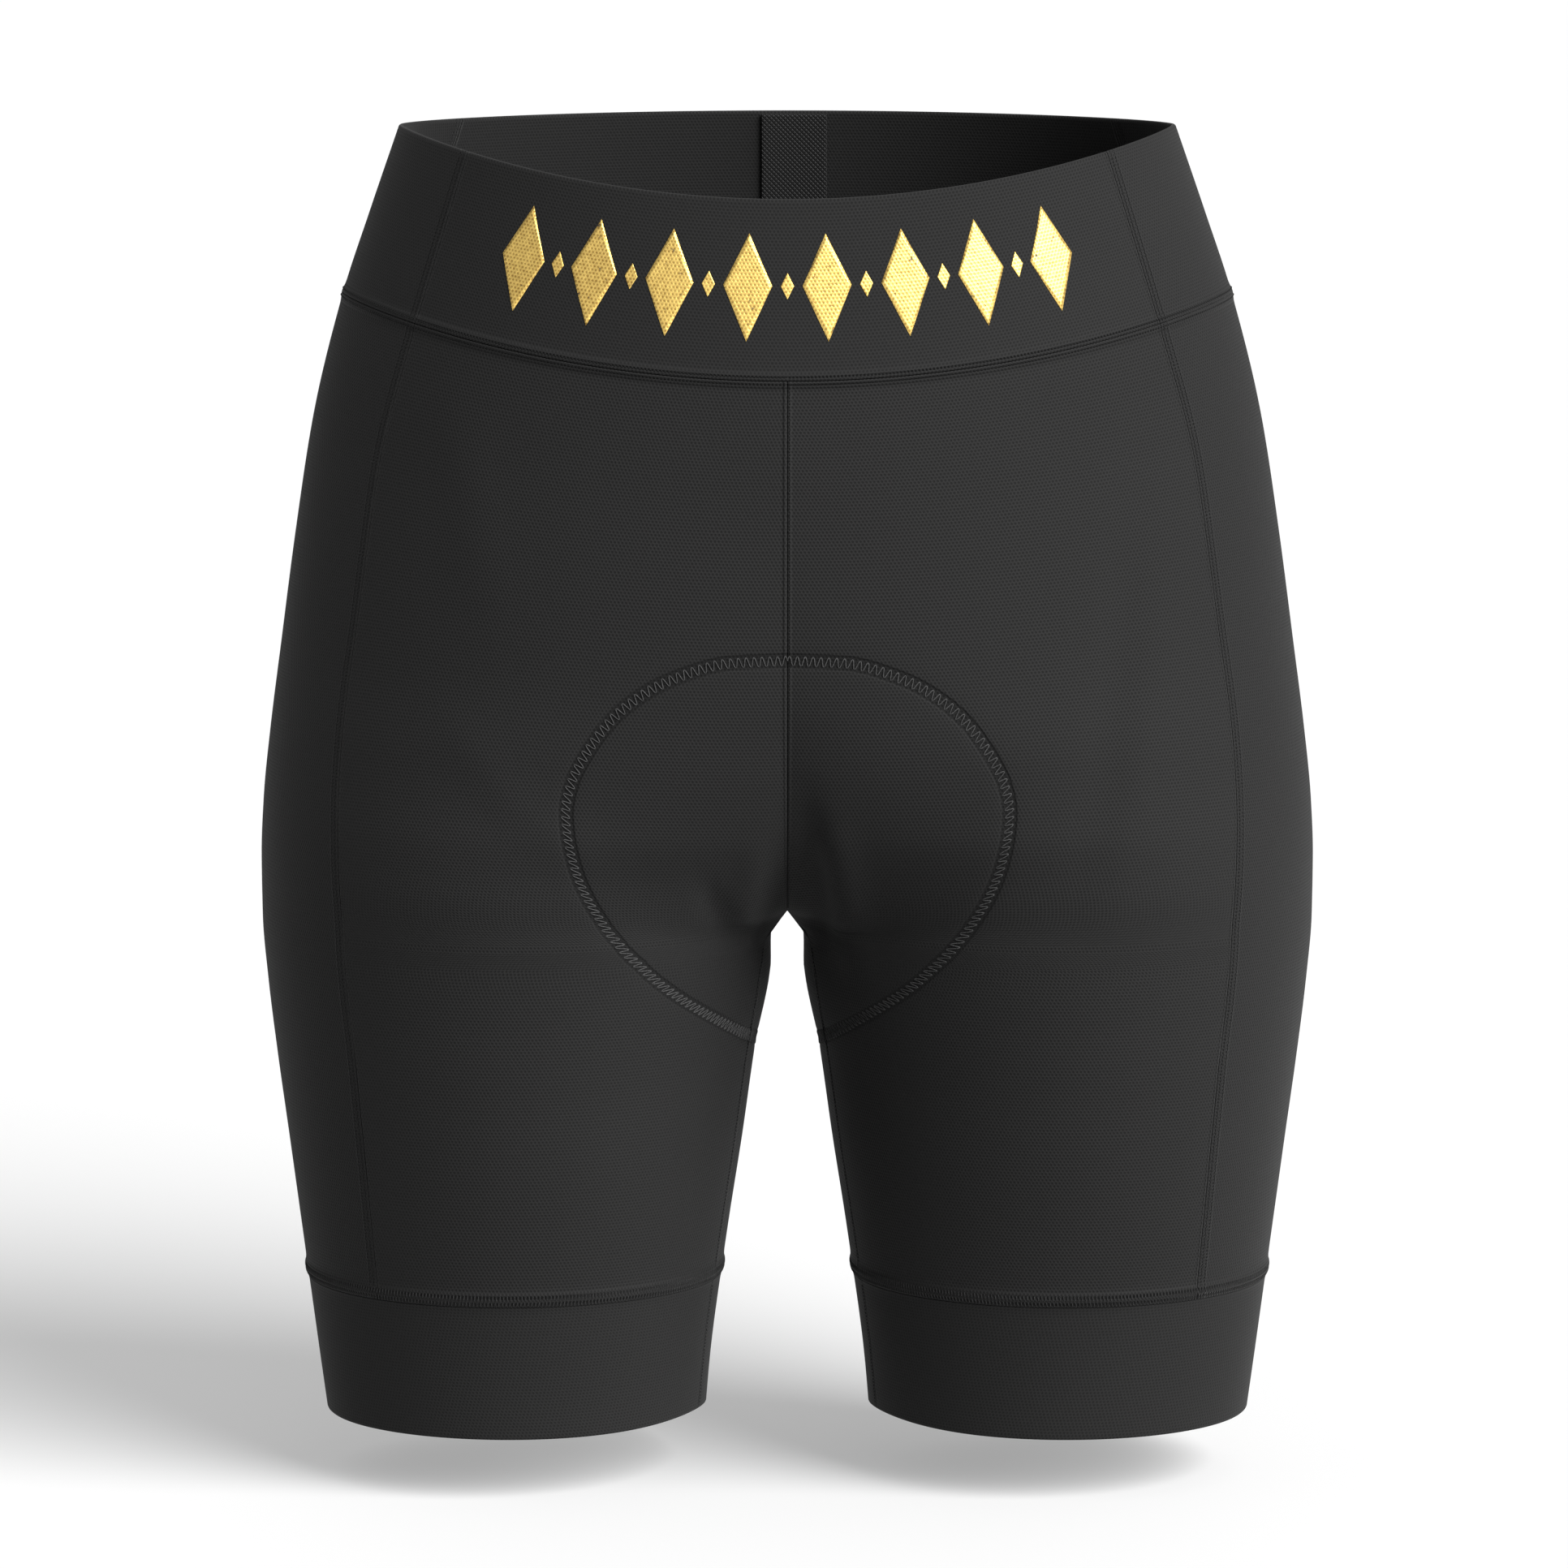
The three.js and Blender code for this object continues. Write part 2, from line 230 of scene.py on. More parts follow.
# side: frontSide, backSide turns of the long seams
SEAMS = Curve(
    [
        [0, 0.298, 0.668],
        [WAIST_SEAM, 0.305, 0.664],
        [106, 0.314, 0.658],
        [157, 0.321, 0.652],
        [206, 0.334, 0.649],
        [240, 0.341, 0.647],
        [268, 0.348, 0.645],
        [302, 0.356, 0.642],
        [LEG_SEAM, 0.356, 0.642],
        [HEM, 0.354, 0.643],
    ]
)
# side: turn of the inseam
INSEAM = Curve(
    [
        [CROTCH, 0],
        [284, 0.036],
        [298, 0.045],
        [326, 0.041],
        [LEG_SEAM, 0.041],
        [HEM, 0.036],
    ]
)
# way: turn, side of the pad's outline on each half
PAD_OUTLINE = Curve(
    [
        [0, 0, 167.5],
        [0.036, 0.037, 168.5],
        [0.074, 0.075, 175],
        [0.113, 0.108, 186.5],
        [0.145, 0.134, 202],
        [0.172, 0.15, 215.5],
        [0.2, 0.158, 227],
        [0.222, 0.1615, 240],
        [0.245, 0.1632, 252],
        [0.257, 0.163, 258],
        [0.268, 0.1627, 264],
        [0.2755, 0.1632, 268],
        [0.282, 0.1648, 272],
        [0.2885, 0.1665, 276],
        [0.294, 0.1635, 279],
        [0.3, 0.1595, 282],
        [0.307, 0.154, 285.5],
        [0.318, 0.1455, 290.5],
        [0.333, 0.134, 295.5],
        [0.352, 0.1195, 300.5],
        [0.378, 0.1, 305.8],
        [0.41, 0.079, 310.5],
        [0.44, 0.05, 315.5],
        [0.5, 0, 321],
        [0.57, 0.073, 314.5],
        [0.61, 0.118, 306],
        [0.645, 0.148, 296.5],
        [0.68, 0.167, 286],
        [0.695, 0.1732, 280],
        [0.7055, 0.1778, 276],
        [0.722, 0.1735, 270],
        [0.74, 0.1712, 262],
        [0.77, 0.173, 250],
        [0.8, 0.174, 236.5],
        [0.85, 0.167, 208],
        [0.9, 0.14, 180],
        [0.94, 0.1, 160],
        [0.97, 0.055, 148],
        [1, 0, 144],
    ]
)


class View(Enum):
    """The side of the garment that a fold lies on."""

    FRONT = -1
    BACK = 1


@dataclass(frozen=True)
class Fold:
    """A soft ridge, or a trough where its height is below 0, placed as seen from one side.

    path: its points, (x, z). width: half its width. height: how far it stands out.
    """

    view: View
    path: tuple[tuple[float, float], ...]
    width: float
    height: float

    def lift(self, points: Array, normals: Array) -> Array:
        """Gives how far the fold moves points of the cloth out.

        Args:
            points: Points of the cloth.
            normals: The cloth's outward directions there.

        Returns:
            A distance for each point.
        """
        flat = points[..., [0, 2]]
        nearest = np.full(flat.shape[:-1], np.inf)
        along = np.zeros(flat.shape[:-1])
        path = np.array(self.path)
        starts = lengths_along(path)
        for index, length in enumerate(np.diff(starts)):
            direction = (path[index + 1] - path[index]) / length
            offset = flat - path[index]
            part = np.clip(offset @ direction, 0, length)
            away = np.linalg.norm(offset - part[..., None] * direction, axis=-1)
            closer = away < nearest
            nearest = np.where(closer, away, nearest)
            along = np.where(closer, (starts[index] + part) / starts[-1], along)
        facing = np.clip(normals[..., 1] * self.view.value * 2.5, 0, 1)
        taper = np.sin(math.pi * np.clip(along, 0.04, 0.96)) ** 0.8
        return self.height * facing * taper * bell(nearest, self.width)


@dataclass(frozen=True)
class Form:
    """The outer face of the worn shorts, by turn round each half and distance down its side."""

    folds: tuple[Fold, ...]
    drawn_turn: float = 0.05
    pad_swell: float = 1.6
    ring_depth: float = 0.45
    ring_width: float = 2.4
    waist_ridge: float = 0.55
    leg_ridge: float = 0.75
    hem_drawn_up: float = 1.35
    hem_lip: float = 0.8

    def front_side(self, side: Array) -> Array:
        """Gives the turn of the seam between front and side panels."""
        return SEAMS(side)[..., 0]

    def back_side(self, side: Array) -> Array:
        """Gives the turn of the seam between side and back panels."""
        return SEAMS(side)[..., 1]

    def inner_front(self, side: Array) -> Array:
        """Gives the turn at which the front panel ends at the inseam."""
        return INSEAM(side)[..., 0]

    def inner_back(self, side: Array) -> Array:
        """Gives the turn at which the back panel ends at the inseam."""
        return 1 + INSEAM(side)[..., 0]

    def other_back_side(self, side: Array) -> Array:
        """Gives the turn of the right half's back seam, counted on past the middle."""
        return 2 - self.back_side(side)

    def outer(self, any_turn: Array, side: Array) -> Array:
        """Gives points of the left half's outer face, without the swelling over the pad.

        Args:
            any_turn: 0 in the middle of the front, 1 in the middle of the back.
            side: Distance down the outer side.

        Returns:
            The points, along one more axis at the end.
        """
        any_turn, side = np.broadcast_arrays(np.asarray(any_turn, float), side)
        turn = np.where(side > CROTCH, any_turn - np.floor(any_turn), any_turn)
        rows = np.moveaxis(SECTIONS(side), -1, 0)
        half, front, back, thigh, leg_front, leg_back, pull = rows
        gap, drawn = np.moveaxis(BETWEEN(side), -1, 0)
        front_y, front_drop, back_y, back_drop = np.moveaxis(MIDDLE(side), -1, 0)
        in_front = turn < 0.5
        depth = np.where(in_front, front, back)
        seam_y = np.where(in_front, front_y, back_y)
        leg_depth = np.where(in_front, leg_front, leg_back)
        drop = np.where(side > CROTCH, side, np.where(in_front, front_drop, back_drop))
        angle = math.pi * turn
        in_middle = np.abs(np.cos(angle)) ** (2 * pull)
        share = thigh + (1 - seam_y / depth - thigh) * in_middle
        ring = np.stack([half * np.sin(angle), -depth * np.cos(angle)], axis=-1)
        from_inside = np.minimum(np.abs(turn), np.abs(1 - turn))
        inwards = drawn * gap * bell(from_inside, self.drawn_turn)
        leg_x = gap + (half - gap) / 2 * (1 - np.cos(2 * angle)) - inwards
        leg = np.stack([leg_x, -leg_depth * np.sin(2 * angle)], axis=-1)
        flat = ring + (leg - ring) * share[..., None]
        return np.concatenate([flat, (-side - (drop - side) * in_middle)[..., None]], axis=-1)

    def outward(self, turn: Array, side: Array) -> Array:
        """Gives the outward directions of the left half's outer face.

        Args:
            turn: Turns round the half.
            side: Distances down the outer side.

        Returns:
            Unit vectors, along one more axis at the end.
        """
        turn, side = np.broadcast_arrays(np.asarray(turn, float), side)
        turn_step, side_step = 0.002, 0.4
        above = side < CROTCH
        on_leg = side > CROTCH
        turn_from = np.where(on_leg, turn - turn_step, np.maximum(0, turn - turn_step))
        turn_to = np.where(on_leg, turn + turn_step, np.minimum(1, turn + turn_step))
        side_from = np.where(above, side - side_step, side)
        side_to = np.where(above, np.minimum(CROTCH, side + side_step), side + side_step)
        across = self.outer(turn_to, side) - self.outer(turn_from, side)
        down = self.outer(turn, side_to) - self.outer(turn, side_from)
        normal = np.cross(down, across)
        return normal / np.maximum(np.linalg.norm(normal, axis=-1, keepdims=True), 1e-9)

    def swelling(self, turn: Array, side: Array) -> Array:
        """Gives how far the pad pushes the cloth out.

        Args:
            turn: Turns round the half.
            side: Distances down the outer side.

        Returns:
            A distance for each point.
        """
        near_front = (turn < 0.5) | (turn > 1)
        width = np.where(near_front, *PAD_TURN)
        up = CROTCH - np.where(near_front, *PAD_TOP)
        across = np.where(near_front, turn % 1, 1 - turn) / width
        along = np.where(side < CROTCH, (CROTCH - side) / up, (side - CROTCH) / PAD_BELOW)
        reach = np.minimum(across**2 + along**2, 1)
        return self.pad_swell * (1 - reach) ** 2 * np.minimum(1, 6 * reach)

    def seam_ridges(self, side: Array) -> Array:
        """Gives how far the seams round the waist and the legs stand out."""
        waist = self.waist_ridge * bell(side - WAIST_SEAM, 2.2)
        return waist + self.leg_ridge * bell(side - LEG_SEAM + 2.4, 2.6)

    def hem_corner(self, turn: Array, side: Array) -> tuple[Array, Array]:
        """Gives how the seam that closes a leg band shapes the hem's inner corner.

        Args:
            turn: Turns round the half.
            side: Distances down the outer side.

        Returns:
            How far the cloth is drawn up and how far it stands out.
        """
        around = (turn + 0.5) % 1 - 0.5
        start = LEG_SEAM + 8
        low = np.clip((side - start) / (HEM - start), 0, 1) ** 2
        drawn_up = self.hem_drawn_up * bell(around - 0.05, 0.085)
        return drawn_up * low, self.hem_lip * bell(around, 0.05) * low

    def pad_edge(self, way: Array, beyond: Array = 0.0) -> tuple[Array, Array]:
        """Gives turns and sides along the pad's outline on the left half.

        Args:
            way: 0 up the front seam, 0.5 down the inseam, 1 up the back seam.
            beyond: How far outside the outline, in millimetres.

        Returns:
            The turns and the sides.
        """
        edge_turn, edge_side = np.moveaxis(PAD_OUTLINE(way), -1, 0)
        turn = np.where(way <= 0.5, edge_turn, 1 - edge_turn)
        reach = np.linalg.norm(
            self.outer(turn, edge_side) - self.outer(np.zeros_like(turn), CROTCH), axis=-1
        )
        share = 1 + beyond / reach
        turn = np.where(way <= 0.5, share * edge_turn, 1 - share * edge_turn)
        return turn, CROTCH + share * (edge_side - CROTCH)

    def from_pad_edge(self, turn: Array, side: Array) -> Array:
        """Gives the distance to the pad's outline, below 0 inside it.

        Args:
            turn: Turns round the left half.
            side: Distances down the outer side.

        Returns:
            A distance for each point, in millimetres.
        """
        turn, side = np.broadcast_arrays(np.asarray(turn, float), side)
        way = np.linspace(0, 1, 420)
        line = self.outer(*self.pad_edge(way))
        points = self.outer(turn, side).reshape(-1, 3)
        squares = (points**2).sum(1)[:, None] - 2 * points @ line.T + (line**2).sum(1)
        nearest = np.argmin(squares, axis=1)
        apart = np.sqrt(np.maximum(squares[np.arange(len(points)), nearest], 0))
        near_turn, near_side = self.pad_edge(way[nearest])
        own = np.minimum(turn, np.abs(1 - turn)).ravel()
        near = np.minimum(near_turn, np.abs(1 - near_turn))
        inner = np.hypot(own * TURN_LENGTH, side.ravel() - CROTCH)
        outer = np.hypot(near * TURN_LENGTH, near_side - CROTCH)
        return (apart * np.where(inner < outer, -1, 1)).reshape(turn.shape)

    def place(self, turn: Array, side: Array, lift: Array = 0.0) -> tuple[Array, Array]:
        """Gives points on either half, with their outward directions.

        Args:
            turn: Below 0 on the right half. Above the crotch it runs on past the middle of the
                back onto the other half.
            side: Distances down the outer side.
            lift: How far out from the cloth's outer face.

        Returns:
            The points and the unit vectors.
        """
        turn, side, lift = np.broadcast_arrays(np.asarray(turn, float), side, lift)
        across_back = (side <= CROTCH) & (np.abs(turn) > 1)
        own = np.where(across_back, 2 - np.abs(turn), np.abs(turn))
        normal = self.outward(own, side)
        point = self.outer(own, side) + normal * self.swelling(own, side)[..., None]
        ring = -self.ring_depth * bell(self.from_pad_edge(own, side), self.ring_width)
        other = np.where((turn < 0) != across_back, -1.0, 1.0)
        point[..., 0] *= other
        normal[..., 0] *= other
        drawn_up, lip = self.hem_corner(own, side)
        point[..., 2] += drawn_up
        raised = lift + ring + lip + self.seam_ridges(side)
        for fold in self.folds:
            raised = raised + fold.lift(point, normal)
        return point + normal * raised[..., None], normal

    def turn_of(self, length: float, turn: Array, side: Array) -> Array:
        """Gives the share of a turn that covers a length on the cloth."""
        step = 0.002
        apart = self.outer(np.abs(turn) + step, side) - self.outer(np.abs(turn), side)
        return length * step / np.linalg.norm(apart, axis=-1)


# Materials


class Value:
    """A number in a material, worked out with Math nodes."""

    def __init__(self, nodes: "Nodes", socket: bpy.types.NodeSocket) -> None:
        """Wraps a socket of the material's nodes."""
        self.nodes = nodes
        self.socket = socket

    def maths(self, operation: str, *others: "Number") -> "Value":
        """Adds a Math node of this value and others."""
        inputs = dict(enumerate([self, *others]))
        return self.nodes.value("ShaderNodeMath", {"operation": operation}, inputs)

    __add__ = __radd__ = partialmethod(maths, "ADD")
    __sub__ = partialmethod(maths, "SUBTRACT")
    __mul__ = __rmul__ = partialmethod(maths, "MULTIPLY")
    __truediv__ = partialmethod(maths, "DIVIDE")
    fraction = partialmethod(maths, "FRACT")
    size = partialmethod(maths, "ABSOLUTE")
    root = partialmethod(maths, "SQRT")
    least = partialmethod(maths, "MINIMUM")
    greatest = partialmethod(maths, "MAXIMUM")

    def __rsub__(self, other: float) -> "Value":
        """Takes this away from a number."""
        return self * -1 + other

    def rise(self, low: float, high: float) -> "Value":
        """Gives a smooth rise from 0 at low to 1 at high."""
        settings = {"interpolation_type": "SMOOTHSTEP", "clamp": True}
        inputs = {"Value": self, "From Min": low, "From Max": high}
        return self.nodes.value("ShaderNodeMapRange", settings, inputs)


Number = Union[Value, float]


class Nodes:
    """The nodes of one material, ending in a Principled shader."""

    def __init__(self, name: str) -> None:
        """Starts an empty material of this name."""
        self.material = bpy.data.materials.new(name)
        self.material.use_nodes = True
        self.tree = self.material.node_tree
        self.tree.nodes.clear()

    def node(
        self,
        kind: str,
        settings: dict[str, object] | None = None,
        inputs: dict[str | int, object] | None = None,
    ) -> bpy.types.Node:
        """Adds a node.

        Args:
            kind: Its type.
            settings: Its properties, which are set first.
            inputs: Values or links of its sockets, by name or place.

        Returns:
            The node.
        """
        made = self.tree.nodes.new(kind)
        for key, setting in (settings or {}).items():
            setattr(made, key, setting)
        for key, given in (inputs or {}).items():
            source = given.socket if isinstance(given, Value) else given
            if isinstance(source, bpy.types.NodeSocket):
                self.tree.links.new(source, made.inputs[key])
            else:
                made.inputs[key].default_value = source
        return made

    def value(self, kind: str, settings: dict[str, object], inputs: dict) -> Value:
        """Adds a node and gives its first output as a number."""
        return Value(self, self.node(kind, settings, inputs).outputs[0])

    def map(self, name: str) -> tuple[Value, Value]:
        """Gives the two numbers of a UV map, in millimetres."""
        place = self.node("ShaderNodeUVMap", {"uv_map": name})
        parts = self.node("ShaderNodeSeparateXYZ", inputs={0: place.outputs[0]})
        first = Value(self, parts.outputs[0]) / MM
        return first, Value(self, parts.outputs[1]) / MM

    def noise(self, scale: float, detail: float = 2.0, seed: float = 0.0) -> Value:
        """Gives soft noise on Object coordinates, about 0.5.

        Args:
            scale: Waves to a metre.
            detail: How many finer layers it has.
            seed: Moves the noise to another place.

        Returns:
            The noise.
        """
        place = self.node("ShaderNodeTexCoord").outputs["Object"]
        moved = self.node("ShaderNodeMapping", inputs={"Vector": place, "Location": (seed,) * 3})
        inputs = {"Vector": moved.outputs[0], "Scale": scale, "Detail": detail}
        return self.value("ShaderNodeTexNoise", {}, inputs)

    def mix(self, share: Number, first: object, second: object) -> bpy.types.NodeSocket:
        """Mixes two colours by a share of the second."""
        inputs = {"Factor": share, 6: first, 7: second}
        return self.node("ShaderNodeMix", {"data_type": "RGBA"}, inputs).outputs[2]

    def bump(self, height: Value, strength: float = 1.0) -> bpy.types.NodeSocket:
        """Turns a height in millimetres into a direction for the shader."""
        inputs = {"Height": height, "Distance": MM, "Strength": strength}
        return self.node("ShaderNodeBump", {}, inputs).outputs[0]

    def finish(self, **inputs: object) -> bpy.types.Material:
        """Ends the material in a Principled shader.

        Args:
            **inputs: Its sockets' values or links, with _ for a space in a name.

        Returns:
            The material.
        """
        named = {key.replace("_", " "): given for key, given in inputs.items()}
        shader = self.node("ShaderNodeBsdfPrincipled", inputs=named)
        self.node("ShaderNodeOutputMaterial", inputs={"Surface": shader.outputs[0]})
        return self.material


def grey(level: float, warmth: float = 0.0) -> tuple[float, float, float, float]:
    """Gives a grey, a little warmer or colder, as a linear colour."""
    return (level * (1 + warmth), level, level * (1 - warmth), 1.0)


def dots(nodes: Nodes, pitch: float) -> Value:
    """Gives the height of a knit of dots on a six-sided grid.

    Args:
        nodes: The material's nodes.
        pitch: From dot to dot, in millimetres.

    Returns:
        The height, from 0 in a dot to 1 between dots.
    """
    across, down = nodes.map("knit")
    distances = []
    for shift in (0.0, 0.5):
        sideways = (across / pitch + shift).fraction() - 0.5
        lengthways = ((down / (pitch * math.sqrt(3)) + shift).fraction() - 0.5) * math.sqrt(3)
        distances.append((sideways * sideways + lengthways * lengthways).root())
    return distances[0].least(distances[1]).rise(0.12, 0.46)


class Rim(Enum):
    """An edge of a piece. The near one is the seam closer to the middle of the front."""

    NEAR = 0
    FAR = 1
    TOP = 2
    BOTTOM = 3


@dataclass(frozen=True)
class Tuck:
    """A strip along an edge that stands out over the sewn allowance."""

    rim: Rim
    width: float
    height: float = 0.3

    def apply(self, distance: Value) -> Value:
        """Gives the strip's height from the distance to its edge."""
        raised = 1 - distance.rise(self.width - 0.35, self.width + 0.45)
        return raised * self.height + distance.rise(0.0, 0.5) * 0.2


@dataclass(frozen=True)
class Groove:
    """A line of needle holes pulled into the cloth, at a distance from an edge."""

    rim: Rim
    at: float
    width: float = 0.7

    def apply(self, distance: Value, along: Value) -> Value:
        """Gives the groove's depth, from 0 to 1.

        Args:
            distance: Distance to the edge.
            along: Distance along it.

        Returns:
            The depth, deeper at each needle hole.
        """
        across = 1 - (distance - self.at).size().rise(self.width * 0.2, self.width * 0.62)
        hole = 1 - ((along / STITCH_PITCH).fraction() - 0.5).size().rise(0.12, 0.4)
        return across * (hole * 0.8 + 0.2)


@dataclass(frozen=True)
class KnitFinish:
    """A matt charcoal stretch knit with a fine six-sided grid of dots."""

    name: str
    tucks: tuple[Tuck, ...] = ()
    grooves: tuple[Groove, ...] = ()
    pad_ring: bool = False
    pitch: float = 1.3
    dot_depth: float = 0.11
    dark: float = 0.009
    light: float = 0.019
    sheen: float = 0.07

    def sewing(self, nodes: Nodes) -> tuple[Number, Number]:
        """Gives the relief of the sewing and the painted shade in its grooves and the pad's
        channel.

        Args:
            nodes: The material's nodes.

        Returns:
            A height in millimetres and a share of painted shade.
        """
        distances = [*nodes.map("edges"), *nodes.map("rows")]
        across, down = nodes.map("knit")
        height: Number = 0.0
        shade: Number = 0.0
        for tuck in self.tucks:
            height = tuck.apply(distances[tuck.rim.value]) + height
        for groove in self.grooves:
            along = down if groove.rim in (Rim.NEAR, Rim.FAR) else across
            depth = groove.apply(distances[groove.rim.value], along)
            height = depth * -0.28 + height
            # Painted shade along the groove, deepest at each needle hole.
            shade = depth * 0.95 + shade
        if self.pad_ring:
            ring = 1 - nodes.map("ring")[0].size().rise(2.2, 3.0)
            height = ring * -0.3 + height
            # Painted shade in the pressed channel round the pad.
            shade = ring * 0.45 + shade
        return height, shade

    def material(self) -> bpy.types.Material:
        """Makes the material."""
        nodes = Nodes(self.name)
        knit = dots(nodes, self.pitch)
        broad = nodes.noise(9, 3, 3.1)
        fine = nodes.noise(900, 2, 7.7)
        near, far = nodes.map("edges")
        # Lighter within about 0.7 mm of the seam edges: partly rubbed wear, partly a painted
        # highlight on the cloth's edges.
        worn = 1 - near.least(far).rise(0.1, 0.7)
        relief, shade = self.sewing(nodes)
        tone = knit * 0.42 + broad * 0.35 + fine * 0.35 + worn * 0.3 - 0.15
        cloth = nodes.mix(tone.rise(0.0, 1.0), grey(self.dark, 0.004), grey(self.light, 0.006))
        # Painted shade: grooves and the pad's channel are mixed towards near black.
        colour = nodes.mix(shade, cloth, grey(0.001)) if self.grooves or self.pad_ring else cloth
        height = knit * self.dot_depth + fine * 0.03 + relief
        return nodes.finish(
            Base_Color=colour,
            Roughness=0.86 - knit * 0.12 + fine * 0.06,
            Normal=nodes.bump(height),
            Sheen_Weight=self.sheen,
            Sheen_Roughness=0.45,
            Sheen_Tint=grey(0.75),
            Specular_IOR_Level=0.14,
        )


@dataclass(frozen=True)
class ThreadFinish:
    """Twisted sewing thread, black unless other greys are given."""

    name: str
    dark: float = 0.001
    light: float = 0.004

    def material(self) -> bpy.types.Material:
        """Makes the material."""
        nodes = Nodes(self.name)
        twist = nodes.noise(1800, 2, 5.0)
        colour = nodes.mix(twist.rise(0.3, 0.7), grey(self.dark), grey(self.light))
        return nodes.finish(
            Base_Color=colour,
            Roughness=0.75 - twist * 0.2,
            Normal=nodes.bump(twist * 0.06),
            Sheen_Weight=0.05,
            Specular_IOR_Level=0.12,
        )


@dataclass(frozen=True)
class ElasticFinish:
    """Black woven elastic with a coarse weave of small diamonds."""

    name: str = "woven_elastic"
    pitch: float = 1.7

    def material(self) -> bpy.types.Material:
        """Makes the material."""
        nodes = Nodes(self.name)
        across, down = nodes.map("knit")
        slant = ((across + down) / self.pitch).fraction() - 0.5
        other = ((across - down) / self.pitch).fraction() - 0.5
        diamond = 1 - slant.size().greatest(other.size()).rise(0.2, 0.5)
        fine = nodes.noise(1200, 2, 2.2)
        tone = diamond * 0.7 + fine * 0.3
        return nodes.finish(
            Base_Color=nodes.mix(tone, grey(0.004), grey(0.017)),
            Roughness=0.8 - diamond * 0.2,
            Normal=nodes.bump(diamond * 0.3 + fine * 0.04),
            Specular_IOR_Level=0.3,
        )


@dataclass(frozen=True)
class PadFinish:
    """Brushed dark cloth over the foam of the pad, with fine air holes."""

    name: str = "pad_cloth"
    pitch: float = 4.2

    def material(self) -> bpy.types.Material:
        """Makes the material."""
        nodes = Nodes(self.name)
        place = nodes.node("ShaderNodeTexCoord").outputs["Object"]
        parts = nodes.node("ShaderNodeSeparateXYZ", inputs={0: place})
        sideways = Value(nodes, parts.outputs[0]) / (self.pitch * MM)
        lengthways = Value(nodes, parts.outputs[1]) / (self.pitch * MM)
        first = (sideways.fraction() - 0.5).size()
        second = (lengthways.fraction() - 0.5).size()
        hole = 1 - (first * first + second * second).root().rise(0.1, 0.17)
        nap = nodes.noise(600, 3, 1.4)
        broad = nodes.noise(25, 2, 9.0)
        tone = (nap * 0.6 + broad * 0.6).rise(0.35, 0.85)
        cloth = nodes.mix(tone, grey(0.018, -0.02), grey(0.04, -0.02))
        return nodes.finish(
            Base_Color=nodes.mix(hole * 0.8, cloth, grey(0.004)),
            Roughness=0.92 - nap * 0.1,
            Normal=nodes.bump(nap * 0.12 - hole * 0.5),
            Sheen_Weight=0.35,
            Sheen_Roughness=0.5,
            Specular_IOR_Level=0.25,
        )


@dataclass(frozen=True)
class FoilFinish:
    """Gold foil pressed onto the knit, a little crackled, with the knit showing through."""

    name: str = "gold_foil"
    pitch: float = 1.3

    def material(self) -> bpy.types.Material:
        """Makes the material."""
        nodes = Nodes(self.name)
        knit = dots(nodes, self.pitch)
        crackle = nodes.noise(520, 3, 4.4)
        broad = nodes.noise(14, 2, 6.1)
        tone = (knit * 0.3 + crackle * 0.6 + broad * 0.3).rise(0.25, 0.85)
        gold = nodes.mix(tone, (0.40, 0.22, 0.045, 1), (0.93, 0.66, 0.19, 1))
        bare = 1 - crackle.rise(0.27, 0.33)
        return nodes.finish(
            Base_Color=nodes.mix(bare * 0.85, gold, grey(0.03)),
            Metallic=0.82 - bare * 0.8,
            Roughness=0.36 + crackle * 0.2,
            Normal=nodes.bump(knit * 0.08 + crackle * 0.14),
            Specular_IOR_Level=0.5,
        )


@dataclass(frozen=True)
class FloorFinish:
    """A plain pale studio sheet that glows evenly: painted light that lifts the shadows cast on it.
    """

    name: str = "studio_sheet"

    def material(self) -> bpy.types.Material:
        """Makes the material."""
        nodes = Nodes(self.name)
        tone = nodes.noise(2, 2)
        colour = nodes.mix(tone * 0.25, grey(0.5), grey(0.48))
        return nodes.finish(
            Base_Color=colour,
            Roughness=0.8,
            # Painted light: the glow lifts the shadows cast on the sheet.
            Emission_Color=grey(1.0),
            Emission_Strength=0.33,
        )


# Cloth


@dataclass(frozen=True)
class Wall:
    """The rows of a cloth wall, as distances down the side and depths under the outer face."""

    top: float
    bottom: float
    thickness: float
    rows: int
    folded_top: bool = False
    folded_bottom: bool = False

    def profile(self) -> Array:
        """Gives (side, depth) for each row, down the outer face and up the inner one."""
        radius = self.thickness / 2
        low = self.top + (radius if self.folded_top else 0)
        high = self.bottom - (radius if self.folded_bottom else 0)
        down = low + (high - low) * eased(self.rows)
        outer = [(side, 0.0) for side in down]
        inner = [(side, self.thickness) for side in down[::-1]]
        angles = np.linspace(0, math.pi, 7)[1:-1]
        round_end = [(radius * math.sin(a), radius * (1 - math.cos(a))) for a in angles]
        hem = [(high + out, depth) for out, depth in round_end] if self.folded_bottom else []
        lip = [(low - out, self.thickness - depth) for out, depth in round_end]
        return np.array(outer + hem + inner + (lip if self.folded_top else []) + outer[:1])


class Half(Enum):
    """The half of the garment that a piece lies on, with the sign of its X."""

    BOTH = 0
    LEFT = 1
    RIGHT = -1

    def name_of(self, base: str) -> str:
        """Gives the name of a piece on this half."""
        return base if self is Half.BOTH else f"{base}_{self.name.lower()}"


HALVES = (Half.LEFT, Half.RIGHT)


@dataclass(frozen=True)
class Cut:
    """A piece's cut, laid flat and slack, in metres and square metres."""

    width: float
    length: float
    area: float


# Stands for the distance to the pad where a piece doesn't reach it
FAR_AWAY = 99.0


